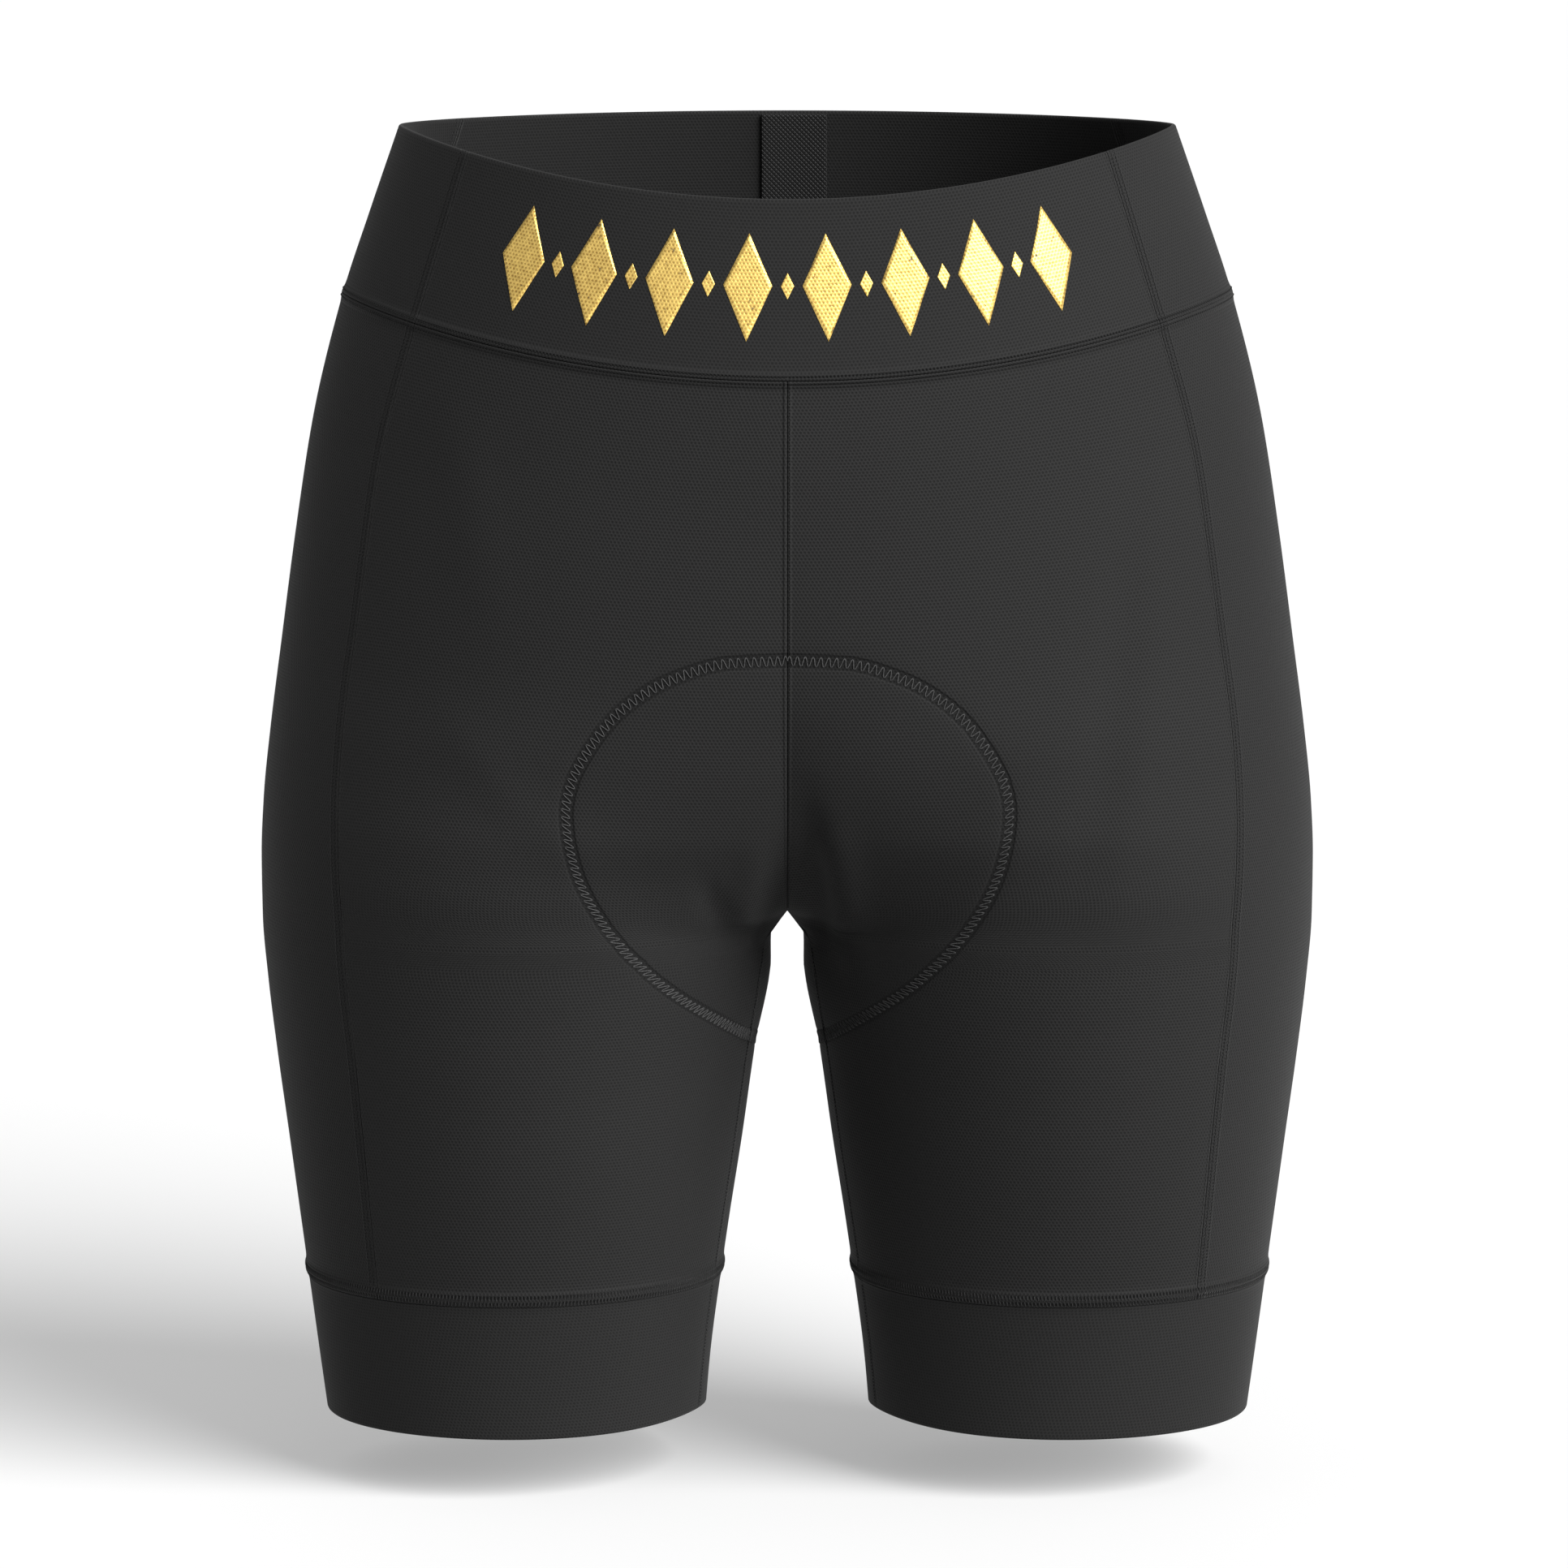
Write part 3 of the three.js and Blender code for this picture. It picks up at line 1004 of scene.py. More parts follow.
@dataclass(frozen=True)
class ClothPiece:
    """A closed cloth shell between two seams, in the place of one solid of the model.

    base: its name without the half. start, end: the turns of its seams. columns: its faces from
    seam to seam. slot: its kind of cloth, not used. half: a piece on one half may not cross the
    middle.
    """

    base: str
    start: Edge
    end: Edge
    wall: Wall
    columns: int
    finish: KnitFinish
    slot: str
    half: Half = Half.BOTH

    def points(self, form: Form) -> tuple[Array, Array]:
        """Gives the shell's points and their distances.

        Args:
            form: The worn shorts.

        Returns:
            Points by row and column, and five distances for each: from the near seam, the far
            one, the top, the bottom and the pad's outline.
        """
        profile = self.wall.profile()
        side = profile[:, :1]
        gap = SEAM_GAP / 2
        start = self.start(side) + form.turn_of(gap, self.start(side), side)
        end = self.end(side) - form.turn_of(gap, self.end(side), side)
        turn = start + (end - start) * eased(self.columns)
        points = form.place(turn, side, -profile[:, 1:])[0]
        if self.half is not Half.BOTH:
            inside = points[..., 0] * self.half.value < gap
            points[..., 0] = np.where(inside, self.half.value * gap, points[..., 0])
        outer = form.place(turn, side)[0]
        across = np.linalg.norm(np.diff(outer, axis=1), axis=-1)
        across = np.pad(np.cumsum(across, axis=1), ((0, 0), (1, 0)))
        below_top = np.broadcast_to(side - self.wall.top, across.shape)
        above_bottom = np.broadcast_to(self.wall.bottom - side, across.shape)
        near, far = across, across[:, -1:] - across
        if self.half is Half.RIGHT:
            near, far = far, near
        ring = np.full(across.shape, FAR_AWAY)
        if self.finish.pad_ring:
            ring = form.from_pad_edge(np.abs(turn), side)
        return points, np.stack([near, far, below_top, above_bottom, ring], axis=-1)

    def build(self, form: Form, edges: Sequence[bpy.types.Object]) -> None:
        """Args:
            form: The worn shorts.
            edges: The turned-in edges that belong to it. Not used.
        """
        points, distances = self.points(form)
        near, far, below_top, above_bottom, ring = np.moveaxis(distances, -1, 0)
        down = lengths_along(points[:, self.columns // 2])
        maps = {
            "knit": ((near - far) / 2, np.broadcast_to(down[:, None], near.shape)),
            "edges": (near, far),
            "rows": (below_top, above_bottom),
            "ring": (ring, np.zeros_like(ring)),
        }
        mesh = grid_mesh(points, maps)
        bmesh.ops.remove_doubles(mesh, verts=mesh.verts[:], dist=1e-6)
        rims = [edge for edge in mesh.edges if edge.is_boundary]
        bmesh.ops.holes_fill(mesh, edges=rims, sides=0)
        bmesh.ops.recalc_face_normals(mesh, faces=mesh.faces[:])
        node = self.half.name_of(self.base)
        piece = finished(mesh, f"cloth_{node}", self.finish.material())
        piece.data.set_sharp_from_angle(angle=math.radians(55))
        dress(piece, node)
        self.report(piece, distances, down)

    def report(self, piece: bpy.types.Object, distances: Array, down: Array) -> None:
        """Logs the piece's size on the body, in millimetres.

        Args:
            piece: The piece.
            distances: Its points' distances from its edges.
            down: How far each of its rows lies down it.
        """
        widths = distances[: self.wall.rows + 1, 0, :2].sum(axis=-1)
        steps = np.diff(down[: self.wall.rows + 1])
        long = steps.sum()
        area = ((widths[1:] + widths[:-1]) / 2 * steps).sum()
        message = "%s: %.0f to %.0f mm wide, %.0f mm long, %.0f cm2, %d faces"
        faces = len(piece.data.polygons)
        LOG.info(message, piece.name, widths.min(), widths.max(), long, area / 100, faces)


def linked(name: str, data: bpy.types.ID) -> bpy.types.Object:
    """Puts a new object with this data into the scene."""
    made = bpy.data.objects.new(name, data)
    bpy.context.scene.collection.objects.link(made)
    return made


def grid_mesh(points: Array, maps: dict[str, tuple[Array, Array]]) -> bmesh.types.BMesh:
    """Makes a smooth grid through points.

    Args:
        points: Points by row and column, in millimetres.
        maps: UV maps by name, as two numbers for each point, in millimetres.

    Returns:
        The mesh, in metres.
    """
    rows, columns = points.shape[0] - 1, points.shape[1] - 1
    mesh = bmesh.new()
    bmesh.ops.create_grid(mesh, x_segments=columns, y_segments=rows, size=0.5)
    layers = [mesh.loops.layers.uv.new(name) for name in maps]
    flats = [np.stack(pair, axis=-1) * MM for pair in maps.values()]
    cells = {
        vert: (round((0.5 - vert.co.y) * rows), round((vert.co.x + 0.5) * columns))
        for vert in mesh.verts
    }
    for face in mesh.faces:
        face.smooth = True
        for loop in face.loops:
            cell = cells[loop.vert]
            for layer, flat in zip(layers, flats):
                loop[layer].uv = flat[cell]
    for vert, cell in cells.items():
        vert.co = points[cell] * MM
    return mesh


def dress(piece: bpy.types.Object, node: str = "") -> None:
    """Fixes a piece to the garment's one body.

    Args:
        piece: The piece.
        node: The solid of the model that it stands in for, if any.
    """
    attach(piece, "root")
    if node:
        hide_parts(node)


def finished(
    mesh: bmesh.types.BMesh, name: str, material: bpy.types.Material
) -> bpy.types.Object:
    """Turns a bmesh into an object of the scene.

    Args:
        mesh: The shape, in metres, which is freed.
        name: The object's name.
        material: Its finish.

    Returns:
        The object.
    """
    data = bpy.data.meshes.new(name)
    mesh.to_mesh(data)
    mesh.free()
    data.materials.append(material)
    return linked(name, data)


# The rows of stitches and the tucks on a side panel, by distance from its seams
SIDE_ROWS_AT = (1.3, 3.1)
SIDE_ROWS = tuple(Groove(rim, at, 0.5) for rim in (Rim.NEAR, Rim.FAR) for at in SIDE_ROWS_AT)
SIDE_TUCKS = (Tuck(Rim.NEAR, 3.6), Tuck(Rim.FAR, 3.6))


@dataclass
class Garment:
    """The cloth pieces: waistband, panels and leg bands."""

    form: Form
    turned_in: dict[str, list[bpy.types.Object]]

    @staticmethod
    def pair(piece: ClothPiece) -> list[ClothPiece]:
        """Gives a piece for each half from the left one."""
        start, end = turned_over(piece.end), turned_over(piece.start)
        right = replace(piece, half=Half.RIGHT, start=start, end=end)
        return [replace(piece, half=Half.LEFT), right]

    def waistband(self) -> list[ClothPiece]:
        """Gives the waistband's four pieces."""
        form = self.form
        wall = Wall(0, WAIST_SEAM - SEAM_GAP / 2, BAND, 34, folded_top=True)
        hem, holes = Tuck(Rim.BOTTOM, 2.6), Groove(Rim.BOTTOM, 1.2)
        narrow = (hem, Tuck(Rim.NEAR, 0.7), Tuck(Rim.FAR, 0.7))
        knit = KnitFinish("waistband_knit", narrow, (holes,), dot_depth=0.07)
        wide = (*SIDE_TUCKS, hem)
        joined = KnitFinish("waistband_side_knit", wide, (*SIDE_ROWS, holes), dot_depth=0.07)
        start, end, behind = form.front_side, form.back_side, form.other_back_side
        right = turned_over(start)
        side = ClothPiece("waistband_side", start, end, wall, 90, joined, "band")
        return [
            ClothPiece("waistband_front", right, start, wall, 170, knit, "band"),
            *self.pair(side),
            ClothPiece("waistband_back", end, behind, wall, 170, knit, "band"),
        ]

    def panels(self) -> list[ClothPiece]:
        """Gives the six panels."""
        form = self.form
        wall = Wall(WAIST_SEAM + SEAM_GAP / 2, LEG_SEAM - SEAM_GAP / 2, KNIT, 170)
        ends = (Tuck(Rim.TOP, 2.4), Tuck(Rim.BOTTOM, 4.8))
        holes = (Groove(Rim.TOP, 1.2), Groove(Rim.BOTTOM, 1.3, 1.5), Groove(Rim.BOTTOM, 3.5, 1.5))
        middle = (Tuck(Rim.NEAR, 1.1, 0.35), Tuck(Rim.FAR, 0.7, 0.3))
        front = KnitFinish("front_knit", (*ends, *middle), holes, True)
        side = KnitFinish("side_knit", (*ends, *SIDE_TUCKS), (*holes, *SIDE_ROWS))
        behind = (Tuck(Rim.FAR, 1.1, 0.35), Tuck(Rim.NEAR, 0.7, 0.3))
        back = KnitFinish("back_knit", (*ends, *behind), holes, True)
        seams = (form.inner_front, form.front_side, form.back_side, form.inner_back)
        plan = (("front", 110, front), ("side", 70, side), ("back", 110, back))
        made = []
        for start, end, (base, columns, knit) in zip(seams, seams[1:], plan):
            made += self.pair(ClothPiece(base, start, end, wall, columns, knit, "knit"))
        return made

    def leg_bands(self) -> list[ClothPiece]:
        """Gives the two leg bands."""
        form = self.form
        wall = Wall(LEG_SEAM + SEAM_GAP / 2, HEM, BAND, 28, folded_bottom=True)
        joined = (Tuck(Rim.NEAR, 2.2),)
        knit = KnitFinish("leg_band_knit", joined, (Groove(Rim.NEAR, 1.3),), dot_depth=0.06)
        start, end = form.inner_front, form.inner_back
        return self.pair(ClothPiece("leg_band", start, end, wall, 200, knit, "band"))

    def build(self) -> None:
        """Makes every piece of cloth."""
        for piece in [*self.waistband(), *self.panels(), *self.leg_bands()]:
            piece.build(self.form, self.turned_in.get(piece.half.name_of(piece.base), ()))


# Sewing


@dataclass(frozen=True)
class Line:
    """A line on one half of the cloth, from 0 to 1 along it.

    sides: its distances down the side. seam: the seam that it follows down, or None where it
    runs round from one turn to another, given in turns. beyond: how far it lies to the far side
    of the seam, in millimetres.
    """

    form: Form
    half: Half
    sides: tuple[float, float]
    seam: Edge | None = None
    turns: tuple[Edge, Edge] | None = None
    beyond: float = 0.0

    def at(self, part: Array) -> tuple[Array, Array]:
        """Gives places on the line.

        Args:
            part: Shares of the line.

        Returns:
            The turns and the sides.
        """
        side = self.sides[0] + (self.sides[1] - self.sides[0]) * part
        if self.turns:
            start, end = self.turns[0](side), self.turns[1](side)
            turn = start + (end - start) * part
        else:
            turn = self.seam(side)
            turn = turn + self.form.turn_of(1.0, turn, side) * self.beyond
        return turn * self.half.value, side


@dataclass(frozen=True)
class Stitches:
    """A row of short stitches from one line to another, or along one line.

    pitch: from stitch to stitch. length: how far along the line each reaches. radius: half the
    thread's thickness. All in millimetres.
    """

    near: Line
    far: Line
    length: float
    radius: float
    pitch: float = STITCH_PITCH

    def ends(self, form: Form) -> tuple[Array, Array, Array]:
        """Gives the stitches' two ends and the cloth's outward directions.

        Args:
            form: The worn shorts.

        Returns:
            First ends, second ends and unit vectors.
        """
        fine = np.linspace(0, 1, 900)
        turn, side = self.near.at(fine)
        long = lengths_along(form.outer(np.abs(turn), side))
        count = int((long[-1] - self.length) / self.pitch)
        starts = (np.arange(count) + 0.5) * self.pitch
        first = form.place(*self.near.at(np.interp(starts, long, fine)))
        second = form.place(*self.far.at(np.interp(starts + self.length, long, fine)))
        return first[0], second[0], first[1]


@dataclass
class Sewing:
    """The rows of stitches, the zigzag round the pad and the turned-in edges behind the seams."""

    form: Form

    def __post_init__(self) -> None:
        """Makes the cloth of the turned-in edges."""
        self.edge_cloth = KnitFinish("turned_in_knit").material()

    @staticmethod
    def prototype() -> tuple[Array, list[list[int]]]:
        """Makes one stitch, a short rounded thread along Z.

        Returns:
            Its points and its faces.
        """
        mesh = bmesh.new()
        bmesh.ops.create_uvsphere(mesh, u_segments=6, v_segments=4, radius=1.0)
        mesh.verts.index_update()
        points = np.array([vert.co[:] for vert in mesh.verts])
        faces = [[vert.index for vert in face.verts] for face in mesh.faces]
        mesh.free()
        return points, faces

    def row(self, name: str, rows: Sequence[Stitches], finish: ThreadFinish) -> None:
        """Joins rows of stitches into one piece.

        Args:
            name: The piece's name.
            rows: The rows.
            finish: The thread.
        """
        shape, faces = self.prototype()
        points, polygons = [], []
        for stitches in rows:
            first, second, outward = stitches.ends(self.form)
            along = second - first
            half = np.linalg.norm(along, axis=1, keepdims=True) / 2 + stitches.radius * 0.6
            along = along / np.linalg.norm(along, axis=1, keepdims=True)
            across = np.cross(along, outward)
            across = across / np.linalg.norm(across, axis=1, keepdims=True)
            up = np.cross(across, along)
            middle = (first + second) / 2 + outward * stitches.radius * 0.35
            frame = [across * stitches.radius, up * stitches.radius, along * half]
            for index in range(len(first)):
                axes = np.stack([part[index] for part in frame])
                base = len(points) * len(shape)
                points.append((shape @ axes + middle[index]) * MM)
                polygons.extend([[corner + base for corner in face] for face in faces])
        data = bpy.data.meshes.new(name)
        data.from_pydata(np.concatenate(points), [], polygons)
        data.polygons.foreach_set("use_smooth", [True] * len(polygons))
        data.materials.append(finish.material())
        dress(linked(name, data))
        LOG.info("%s: %d stitches, %d faces", name, len(points), len(polygons))

    def long_seams(self) -> None:
        """Makes the two rows beside each long seam, up to the waist opening."""
        form = self.form
        on_band = (2.0, WAIST_SEAM - ROW_END)
        on_panel = (WAIST_SEAM + ROW_END, LEG_SEAM - ROW_END_LOW)
        for half in HALVES:
            rows = []
            for sides in (on_band, on_panel):
                for beyond in SIDE_ROWS_AT:
                    front = Line(form, half, sides, form.front_side, beyond=beyond)
                    back = Line(form, half, sides, form.back_side, beyond=-beyond)
                    rows += [Stitches(line, line, 0.6, 0.14) for line in (front, back)]
            self.row(half.name_of("stitches_side"), rows, ThreadFinish("side_thread"))

    def around(self, side: float, half: Half) -> Line:
        """Gives a line round one half, from front to back, at a distance down the side."""
        form = self.form
        on_leg = side > CROTCH
        turns = (form.inner_front, form.inner_back) if on_leg else (fixed(0.0), fixed(1.0))
        return Line(form, half, (side, side), turns=turns)

    def waist_seam(self) -> None:
        """Makes the dashed upper row and the denser lower row of the waistband's seam."""
        rows = []
        for half in HALVES:
            upper = self.around(WAIST_SEAM - 1.2, half)
            lower = self.around(WAIST_SEAM + 1.2, half)
            rows += [Stitches(upper, upper, 0.65, 0.19), Stitches(lower, lower, 0.72, 0.2)]
        self.row("stitches_waist", rows, ThreadFinish("waist_thread"))

    def leg_seams(self) -> None:
        """Makes the two ladder rows above each leg band."""
        rows = []
        for half in HALVES:
            for top in (4.3, 2.1):
                upper = self.around(LEG_SEAM - top, half)
                lower = self.around(LEG_SEAM - top + 1.6, half)
                rows.append(Stitches(upper, lower, 0.3, 0.17))
        self.row("stitches_leg_bands", rows, ThreadFinish("leg_thread", 0.015, 0.034))

    def inseams(self) -> None:
        """Makes the row beside each inseam and beside the seam that closes each leg band."""
        rows = []
        form = self.form
        long = (CROTCH + 9, LEG_SEAM - ROW_END_LOW)
        short = (LEG_SEAM + ROW_END, HEM - ROW_END)
        for half in HALVES:
            for sides in (long, short):
                line = Line(form, half, sides, form.inner_front, beyond=1.3)
                rows.append(Stitches(line, line, 0.62, 0.18))
        self.row("stitches_inseams", rows, ThreadFinish("inseam_thread"))

    def middle_seams(self) -> None:
        """Makes the fine row beside the middle seam, in front and behind."""
        rows = []
        sides = (WAIST_SEAM + 2, CROTCH - 8)
        for turn, beyond in ((0.0, 0.75), (1.0, -0.75)):
            line = Line(self.form, Half.LEFT, sides, fixed(turn), beyond=beyond)
            rows.append(Stitches(line, line, 0.5, 0.13, pitch=1.0))
        self.row("stitches_middle", rows, ThreadFinish("middle_thread"))

    def pad_zigzag(self) -> None:
        """Makes the zigzag thread that holds the pad, one run on each half."""
        thread = ThreadFinish("pad_thread", 0.034, 0.066).material()
        form = self.form
        for half in HALVES:
            fine = np.linspace(0, 1, 1500)
            long = lengths_along(form.outer(*form.pad_edge(fine)))
            waves = round(long[-1] / ZIGZAG_PITCH)
            part = np.interp(np.linspace(0, long[-1], waves * 14 + 1), long, fine)
            phase = np.linspace(0, waves, waves * 14 + 1)
            swing = np.sin(2 * math.pi * phase)
            swing = np.sign(swing) * np.abs(swing) ** 0.8 * ZIGZAG_SWING
            turn, side = form.pad_edge(part, swing)
            raised = 0.2 - 0.3 * (np.abs(swing) / ZIGZAG_SWING) ** 8
            points = form.place(turn * half.value, side, raised)[0] * MM
            self.tube(half.name_of("zigzag_pad"), points, ZIGZAG_RADIUS * MM, thread)

    @staticmethod
    def tube(name: str, points: Array, radius: float, finish: bpy.types.Material) -> None:
        """Makes a thread along points and dresses it.

        Args:
            name: The piece's name.
            points: Where it runs, in metres.
            radius: Half its thickness, in metres.
            finish: Its material.
        """
        curve = bpy.data.curves.new(name, "CURVE")
        curve.dimensions = "3D"
        curve.bevel_depth = radius
        curve.bevel_resolution = 1
        curve.use_fill_caps = True
        spline = curve.splines.new("POLY")
        spline.points.add(len(points) - 1)
        spline.points.foreach_set("co", np.pad(points, ((0, 0), (0, 1)), constant_values=1).ravel())
        bent = linked(name, curve)
        data = bpy.data.meshes.new_from_object(bent.evaluated_get(view_layer_graph()))
        bpy.data.objects.remove(bent)
        data.polygons.foreach_set("use_smooth", [True] * len(data.polygons))
        data.materials.clear()
        data.materials.append(finish)
        dress(linked(name, data))
        LOG.info("%s: %d faces", name, len(data.polygons))

    def turned_in(self, name: str, points: Array, flat: tuple[Array, Array]) -> bpy.types.Object:
        """Makes a turned-in edge of cloth.

        Args:
            name: The piece's name.
            points: Its outer face by row and column, in millimetres.
            flat: The same points laid flat, as two numbers for each.

        Returns:
            The piece.
        """
        mesh = grid_mesh(points, {"knit": flat})
        bmesh.ops.recalc_face_normals(mesh, faces=mesh.faces[:])
        bmesh.ops.solidify(mesh, geom=mesh.faces[:], thickness=TURNED_IN * MM)
        bmesh.ops.recalc_face_normals(mesh, faces=mesh.faces[:])
        made = finished(mesh, name, self.edge_cloth)
        dress(made)
        return made

    def allowance(
        self, name: str, line: Line, depth: float, steps: int, width: float = 5.6
    ) -> bpy.types.Object:
        """Makes a turned-in edge that lies behind a seam, inside the garment.

        Args:
            name: The piece's name.
            line: The seam.
            depth: How deep its outer face lies under the cloth's.
            steps: Rows along it.
            width: Its width.

        Returns:
            The piece.
        """
        turn, side = line.at(np.linspace(0, 1, steps + 1)[:, None])
        offset = np.linspace(-width / 2, width / 2, 5)[None]
        if line.turns:
            side = side + offset
        else:
            turn = turn + self.form.turn_of(1.0, turn, side) * offset
        points = self.form.place(turn, side, -depth)[0]
        down = np.arange(steps + 1)[:, None] * 2.0
        return self.turned_in(name, points, np.broadcast_arrays(offset, down))

    def middle_allowance(self, middle: float, name: str) -> bpy.types.Object:
        """Makes the turned-in edge behind a middle seam.

        Args:
            middle: 0 for the front's seam, 1 for the back's.
            name: The piece's name.

        Returns:
            The piece.
        """
        side = np.linspace(WAIST_SEAM + 3, CROTCH - 1, 141)[:, None]
        offset = np.linspace(-2.8, 2.8, 5)[None]
        share = self.form.turn_of(1.0, np.full_like(side, 0.003), side) * np.abs(offset)
        points = self.form.place(np.abs(middle - share), side, -KNIT - 0.1)[0]
        points[..., 0] = np.where(offset < 0, -points[..., 0], points[..., 0])
        plain = np.zeros(points.shape[:2])
        return self.turned_in(name, points, (plain, plain))

    def allowances(self) -> dict[str, list[bpy.types.Object]]:
        """Makes the turned-in edges behind every seam.

        Returns:
            The pieces, by the node of the cloth that they belong to.
        """
        form = self.form
        under_knit, under_band = KNIT + 0.1, BAND + 0.1
        whole = (WAIST_SEAM + 3, LEG_SEAM - 3)
        band = (2.5, WAIST_SEAM - 3)
        inner = (CROTCH + 8, HEM - 2.5)
        made = {"waistband_front": [], "waistband_back": []}
        for half in HALVES:
            name = half.name_of("")
            for seam, label in ((form.front_side, "front"), (form.back_side, "back")):
                line = Line(form, half, whole, seam)
                long = self.allowance(f"turned_in_{label}{name}", line, under_knit, 150)
                made[f"{label}{name}"] = [long]
                line = Line(form, half, band, seam)
                short = self.allowance(f"turned_in_band_{label}{name}", line, 0.6, 30, 3.0)
                made[f"waistband_{label}"].append(short)
            inseam = Line(form, half, inner, form.inner_front)
            waist = self.around(WAIST_SEAM, half)
            leg = self.around(LEG_SEAM, half)
            made[f"front{name}"] += [
                self.allowance(f"turned_in_inseam{name}", inseam, under_band, 80),
                self.allowance(f"turned_in_waist{name}", waist, under_band, 160),
            ]
            made[f"leg_band{name}"] = [
                self.allowance(f"turned_in_leg{name}", leg, under_band, 160)
            ]
        for turn, label in ((0.0, "front"), (1.0, "back")):
            made[f"{label}_left"].append(self.middle_allowance(turn, f"turned_in_middle_{label}"))
        return made

    def build(self) -> None:
        """Makes all the sewing."""
        self.long_seams()
        self.waist_seam()
        self.leg_seams()
        self.inseams()
        self.middle_seams()
        self.pad_zigzag()


def view_layer_graph() -> bpy.types.Depsgraph:
    """Gives the scene's evaluated state, brought up to date."""
    bpy.context.view_layer.update()
    return bpy.context.evaluated_depsgraph_get()


# Foil border, inner strip and pad


@dataclass
class FoilBorder:
    """A plain border of tall and small gold lozenges pressed onto the waistband's front."""

    form: Form
    middle: float = 28.5
    pitch: float = 26.5
    tall: tuple[float, float] = (8.2, 17.0)
    small: tuple[float, float] = (2.2, 4.2)
    count: int = 8
    steps: int = 12
    lift: float = 0.07
    film: float = 0.09

    def lozenge(
        self, mesh: bmesh.types.BMesh, across: float, down: float, half: tuple[float, float]
    ) -> None:
        """Adds one lozenge.

        Args:
            mesh: The border so far.
            across: Its middle, along the band from the middle of the front.
            down: Its middle, down the band.
            half: Half its width and half its height.
        """
        steps = self.steps
        made = bmesh.ops.create_grid(mesh, x_segments=steps, y_segments=steps, size=0.5)
        verts = made["verts"]
        local = np.array([vert.co[:2] for vert in verts])
        wide = (local[:, 0] + local[:, 1]) * half[0] + across
        tall = (local[:, 0] - local[:, 1]) * half[1] + down
        points = self.form.place(self.even_turn(wide), tall, self.lift)[0] * MM
        layer = mesh.loops.layers.uv.verify()
        flat = dict(zip(verts, np.stack([wide, tall], axis=-1) * MM))
        for vert, point in zip(verts, points):
            vert.co = point
        for face in {face for vert in verts for face in vert.link_faces}:
            face.smooth = True
            for loop in face.loops:
                loop[layer].uv = flat[loop.vert]

    def even_turn(self, across: Array) -> Array:
        """Gives the turns at distances along the band from the middle of the front."""
        fine = np.linspace(0, 0.4, 400)
        long = lengths_along(self.form.outer(fine, np.full_like(fine, self.middle)))
        return np.sign(across) * np.interp(np.abs(across), long, fine)

    def build(self) -> None:
        """Makes the border."""
        mesh = bmesh.new()
        mesh.loops.layers.uv.new("knit")
        start = -self.pitch * (self.count - 1) / 2
        for index in range(self.count):
            self.lozenge(mesh, start + index * self.pitch, self.middle, self.tall)
        for index in range(self.count - 1):
            across = start + (index + 0.5) * self.pitch
            self.lozenge(mesh, across, self.middle, self.small)
        bmesh.ops.recalc_face_normals(mesh, faces=mesh.faces[:])
        for face in mesh.faces:
            if face.normal.y > 0:
                face.normal_flip()
        border = finished(mesh, "foil_border", FoilFinish().material())
        skin = border.modifiers.new("film", "SOLIDIFY")
        skin.thickness = self.film * MM
        skin.offset = 1.0
        dress(border)
        LOG.info("foil_border: %d faces", len(border.data.polygons))


@dataclass
class BackStrip:
    """The woven elastic strip inside the centre back."""

    form: Form
    node: str = "back_strip"

    def build(self) -> None:
        """Makes the strip, with rounded edges."""
        side = np.linspace(1, WAIST_SEAM - 1, 61)[:, None]
        offset = np.linspace(-STRIP_WIDTH / 2, STRIP_WIDTH / 2, 17)[None]
        share = self.form.turn_of(1.0, np.full_like(side, 0.998), side)
        turn = 1 - share * (STRIP_OFFSET + offset)
        depth = BAND + SEAM_GAP + STRIP
        points = self.form.place(turn, side, -depth)[0]
        mesh = grid_mesh(points, {"knit": np.broadcast_arrays(offset, side)})
        for face in mesh.faces:
            face.normal_update()
        if sum(face.normal.y for face in mesh.faces) > 0:
            bmesh.ops.reverse_faces(mesh, faces=mesh.faces[:])
        strip = finished(mesh, "woven_back_strip", ElasticFinish().material())
        body = strip.modifiers.new("thickness", "SOLIDIFY")
        body.thickness = STRIP * MM
        body.offset = -1.0
        edge = strip.modifiers.new("soft_edge", "BEVEL")
        edge.width = 0.3 * MM
        edge.segments = 2
        edge.limit_method = "ANGLE"
        edge.angle_limit = math.radians(50)
        dress(strip, self.node)
        LOG.info("woven_back_strip: %d faces", len(strip.data.polygons))


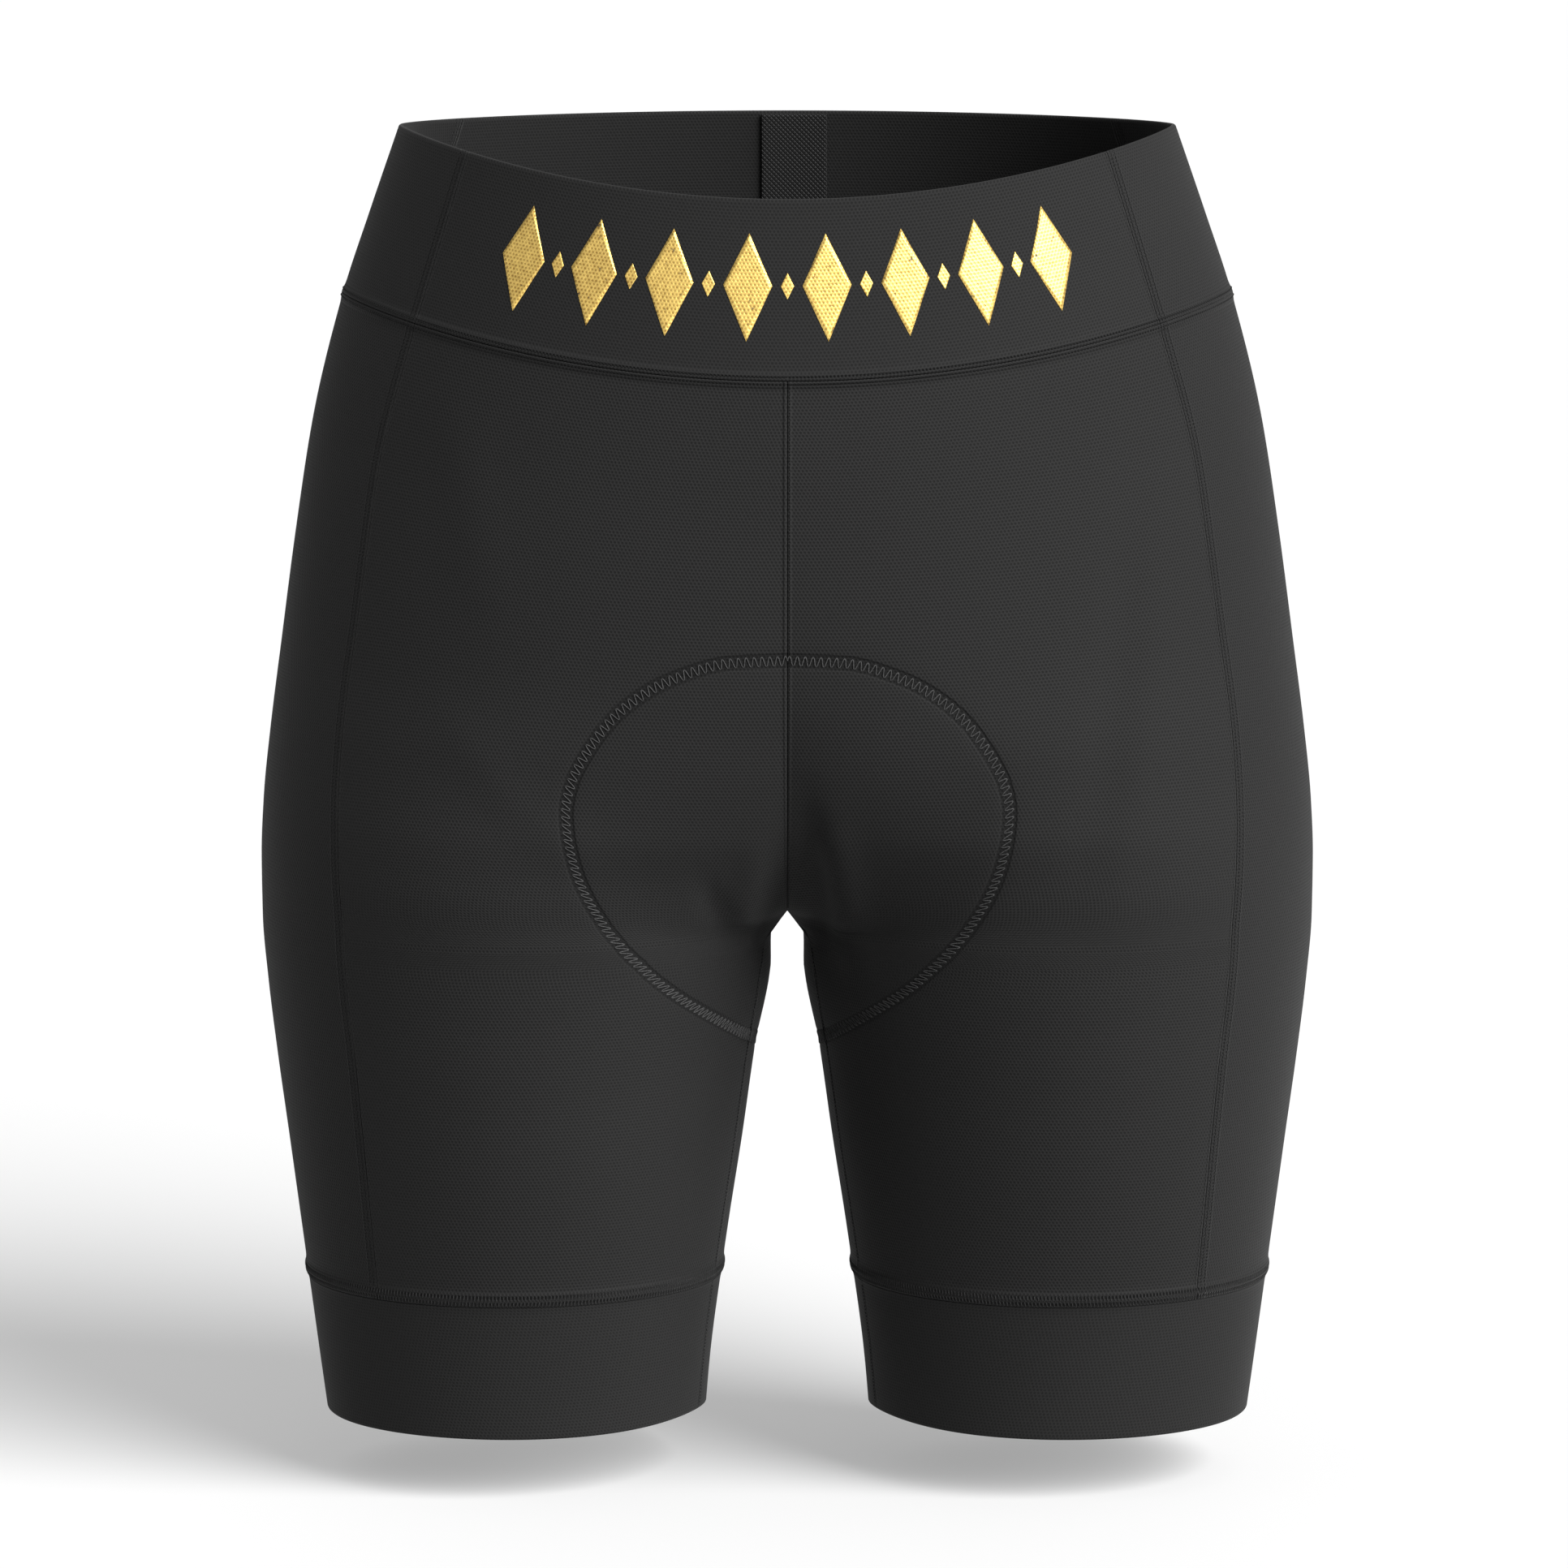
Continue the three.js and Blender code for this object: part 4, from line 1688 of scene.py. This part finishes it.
@dataclass
class SeatPad:
    """The padded seat, with pressed channels, from the model's solid.

    channel: their depth. channels: how far each pair lies from the middle, and half its width.
    spread: how much further out the outer pair lies for each millimetre from the pad's middle.
    ends: how far from the middle of the pad the channels start to fade, and over what length.
    """

    source: bpy.types.Object
    node: str = "seat_pad"
    channel: float = 1.3
    channels: tuple[tuple[float, float], ...] = ((9.0, 1.7), (34.0, 1.8))
    spread: float = 0.12
    ends: tuple[float, float] = (70.0, 25.0)

    def build(self) -> None:
        """Makes the pad."""
        mesh = bmesh.new()
        mesh.from_mesh(self.source.data)
        bmesh.ops.remove_doubles(mesh, verts=mesh.verts[:], dist=1e-5)
        for face in mesh.faces:
            face.smooth = True
        coarse = finished(mesh, "pad_shape", PadFinish().material())
        soft = coarse.modifiers.new("round", "SUBSURF")
        soft.levels = soft.render_levels = 2
        data = bpy.data.meshes.new_from_object(coarse.evaluated_get(view_layer_graph()))
        bpy.data.objects.remove(coarse)
        mesh = bmesh.new()
        mesh.from_mesh(data)
        mesh.normal_update()
        moves = {vert: vert.normal * -self.pressed(vert) * MM for vert in mesh.verts}
        for vert, move in moves.items():
            vert.co += move
        pad = finished(mesh, "padded_seat", data.materials[0])
        dress(pad, self.node)
        LOG.info("padded_seat: %d faces", len(pad.data.polygons))

    def pressed(self, vert: bmesh.types.BMVert) -> float:
        """Gives how deep the pad's channels are.

        Args:
            vert: A point of the pad.

        Returns:
            The depth in millimetres, 0 on the outer face.
        """
        if vert.normal.z < 0.15 and abs(vert.normal.y) < 0.6:
            return 0.0
        place = vert.co / MM
        inner = vert.normal.z > 0 or place.y * vert.normal.y < 0
        across = abs(place.x)
        (middle_at, middle_width), (wing_at, wing_width) = self.channels
        middle = bell(across - middle_at, middle_width)
        wing = bell(across - wing_at - abs(place.y) * self.spread, wing_width)
        fade = min(1.0, max(0.0, (sum(self.ends) - abs(place.y)) / self.ends[1]))
        return self.channel * fade * (middle + wing) if inner else 0.0


# Studio


@dataclass
class Studio:
    """The camera, a pale floor a little below the hems, and soft lights.

    Places and sizes are in metres, angles in degrees and the lens in millimetres. sun_from: the
    direction that the sun lies in. aim: the point that the fill light faces. all_round: the
    strength of the light from every side.
    """

    lens: float = 160.2
    target: tuple[float, float, float] = (-0.00114, 0.0, -0.2311)
    distance: float = 2.45
    elevation: float = 7.0
    floor: float = -0.475
    reach: float = 120.0
    sun_power: float = 6.0
    sun_spread: float = 44.0
    sun_from: tuple[float, float, float] = (1.0, -0.85, 0.85)
    fill_from: tuple[float, float, float] = (0.7, -2.6, 1.7)
    fill_size: float = 2.0
    fill_power: float = 6.0
    aim: tuple[float, float, float] = (0.0, 0.0, -0.24)
    all_round: float = 0.36

    def camera(self) -> None:
        """Adds the camera at the photograph's angle."""
        data = bpy.data.cameras.new("camera")
        data.lens = self.lens
        data.sensor_width = 36.0
        camera = linked("camera", data)
        angle = math.radians(self.elevation)
        back = Vector((0, -math.cos(angle), math.sin(angle))) * self.distance
        camera.location = Vector(self.target) + back
        camera.rotation_euler = (-back).to_track_quat("-Z", "Y").to_euler()
        bpy.context.scene.camera = camera

    def sheet(self) -> None:
        """Adds the studio sheet, a floor that fills the view."""
        mesh = bmesh.new()
        lift = Matrix.Translation((0, 0, self.floor))
        bmesh.ops.create_circle(mesh, cap_ends=True, segments=96, radius=self.reach, matrix=lift)
        sheet = finished(mesh, "studio_sheet", FloorFinish().material())
        sheet.visible_diffuse = False

    def lights(self) -> None:
        """Adds a broad sun, a square fill light in front and the soft light all round."""
        sun = bpy.data.lights.new("key", "SUN")
        sun.energy = self.sun_power
        sun.angle = math.radians(self.sun_spread)
        lamp = linked("key", sun)
        lamp.rotation_euler = Vector(self.sun_from).to_track_quat("Z", "Y").to_euler()
        fill = bpy.data.lights.new("fill", "AREA")
        fill.shape = "SQUARE"
        fill.size = self.fill_size
        fill.energy = self.fill_power
        lamp = linked("fill", fill)
        lamp.location = self.fill_from
        aim = Vector(self.aim) - Vector(self.fill_from)
        lamp.rotation_euler = aim.to_track_quat("-Z", "Y").to_euler()
        world = bpy.data.worlds.new("studio")
        world.use_nodes = True
        background = world.node_tree.nodes["Background"].inputs
        background["Color"].default_value = grey(1.0)
        background["Strength"].default_value = self.all_round
        bpy.context.scene.world = world
        bpy.context.scene.view_settings.view_transform = "Standard"

    def build(self) -> None:
        """Sets up the studio."""
        self.camera()
        self.sheet()
        self.lights()


# The soft folds: those of the photograph in front, and like ones behind
FOLDS = (
    Fold(View.FRONT, ((-29, -254), (-25, -263), (-20, -273), (-14, -281)), 5.0, -2.4),
    Fold(View.FRONT, ((-9, -236), (-12, -252), (-14, -266), (-13, -280)), 6.0, 1.6),
    Fold(View.FRONT, ((14, -230), (18, -252), (21, -272), (25, -296)), 7.0, 2.7),
    Fold(View.FRONT, ((5, -222), (8, -246), (11, -266), (12, -288)), 6.0, -3.0),
    Fold(View.FRONT, ((119, -112), (113, -174), (106, -223), (96, -262)), 9.0, -0.9),
    Fold(View.FRONT, ((128, -120), (124, -174), (118, -223), (108, -266)), 9.0, 0.7),
    Fold(View.FRONT, ((-116, -80), (-108, -120), (-100, -166)), 11.0, 0.8),
    Fold(View.FRONT, ((-118, -196), (-90, -228), (-64, -245)), 8.0, 0.6),
    Fold(View.BACK, ((-28, -262), (-21, -274), (-14, -286)), 4.5, -2.0),
    Fold(View.BACK, ((27, -258), (19, -272), (13, -284)), 5.0, -2.2),
    Fold(View.BACK, ((-104, -268), (-66, -290), (-34, -292)), 8.0, -1.4),
    Fold(View.BACK, ((108, -272), (70, -292), (36, -296)), 7.0, -1.2),
    Fold(View.BACK, ((-120, -110), (-112, -170), (-104, -222)), 10.0, 0.7),
    Fold(View.BACK, ((14, -66), (6, -90), (3, -118)), 6.0, -0.8),
)


def main() -> None:
    """Builds the shorts and the studio round them."""
    logging.basicConfig(level=logging.INFO, format="%(name)s: %(message)s")
    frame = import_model()
    form = Form(folds=FOLDS)
    Studio().build()
    sewing = Sewing(form)
    Garment(form, sewing.allowances()).build()
    sewing.build()
    FoilBorder(form).build()
    BackStrip(form).build()
    SeatPad(frame["nodes"]["seat_pad"]).build()


if __name__ == "__main__":
    main()
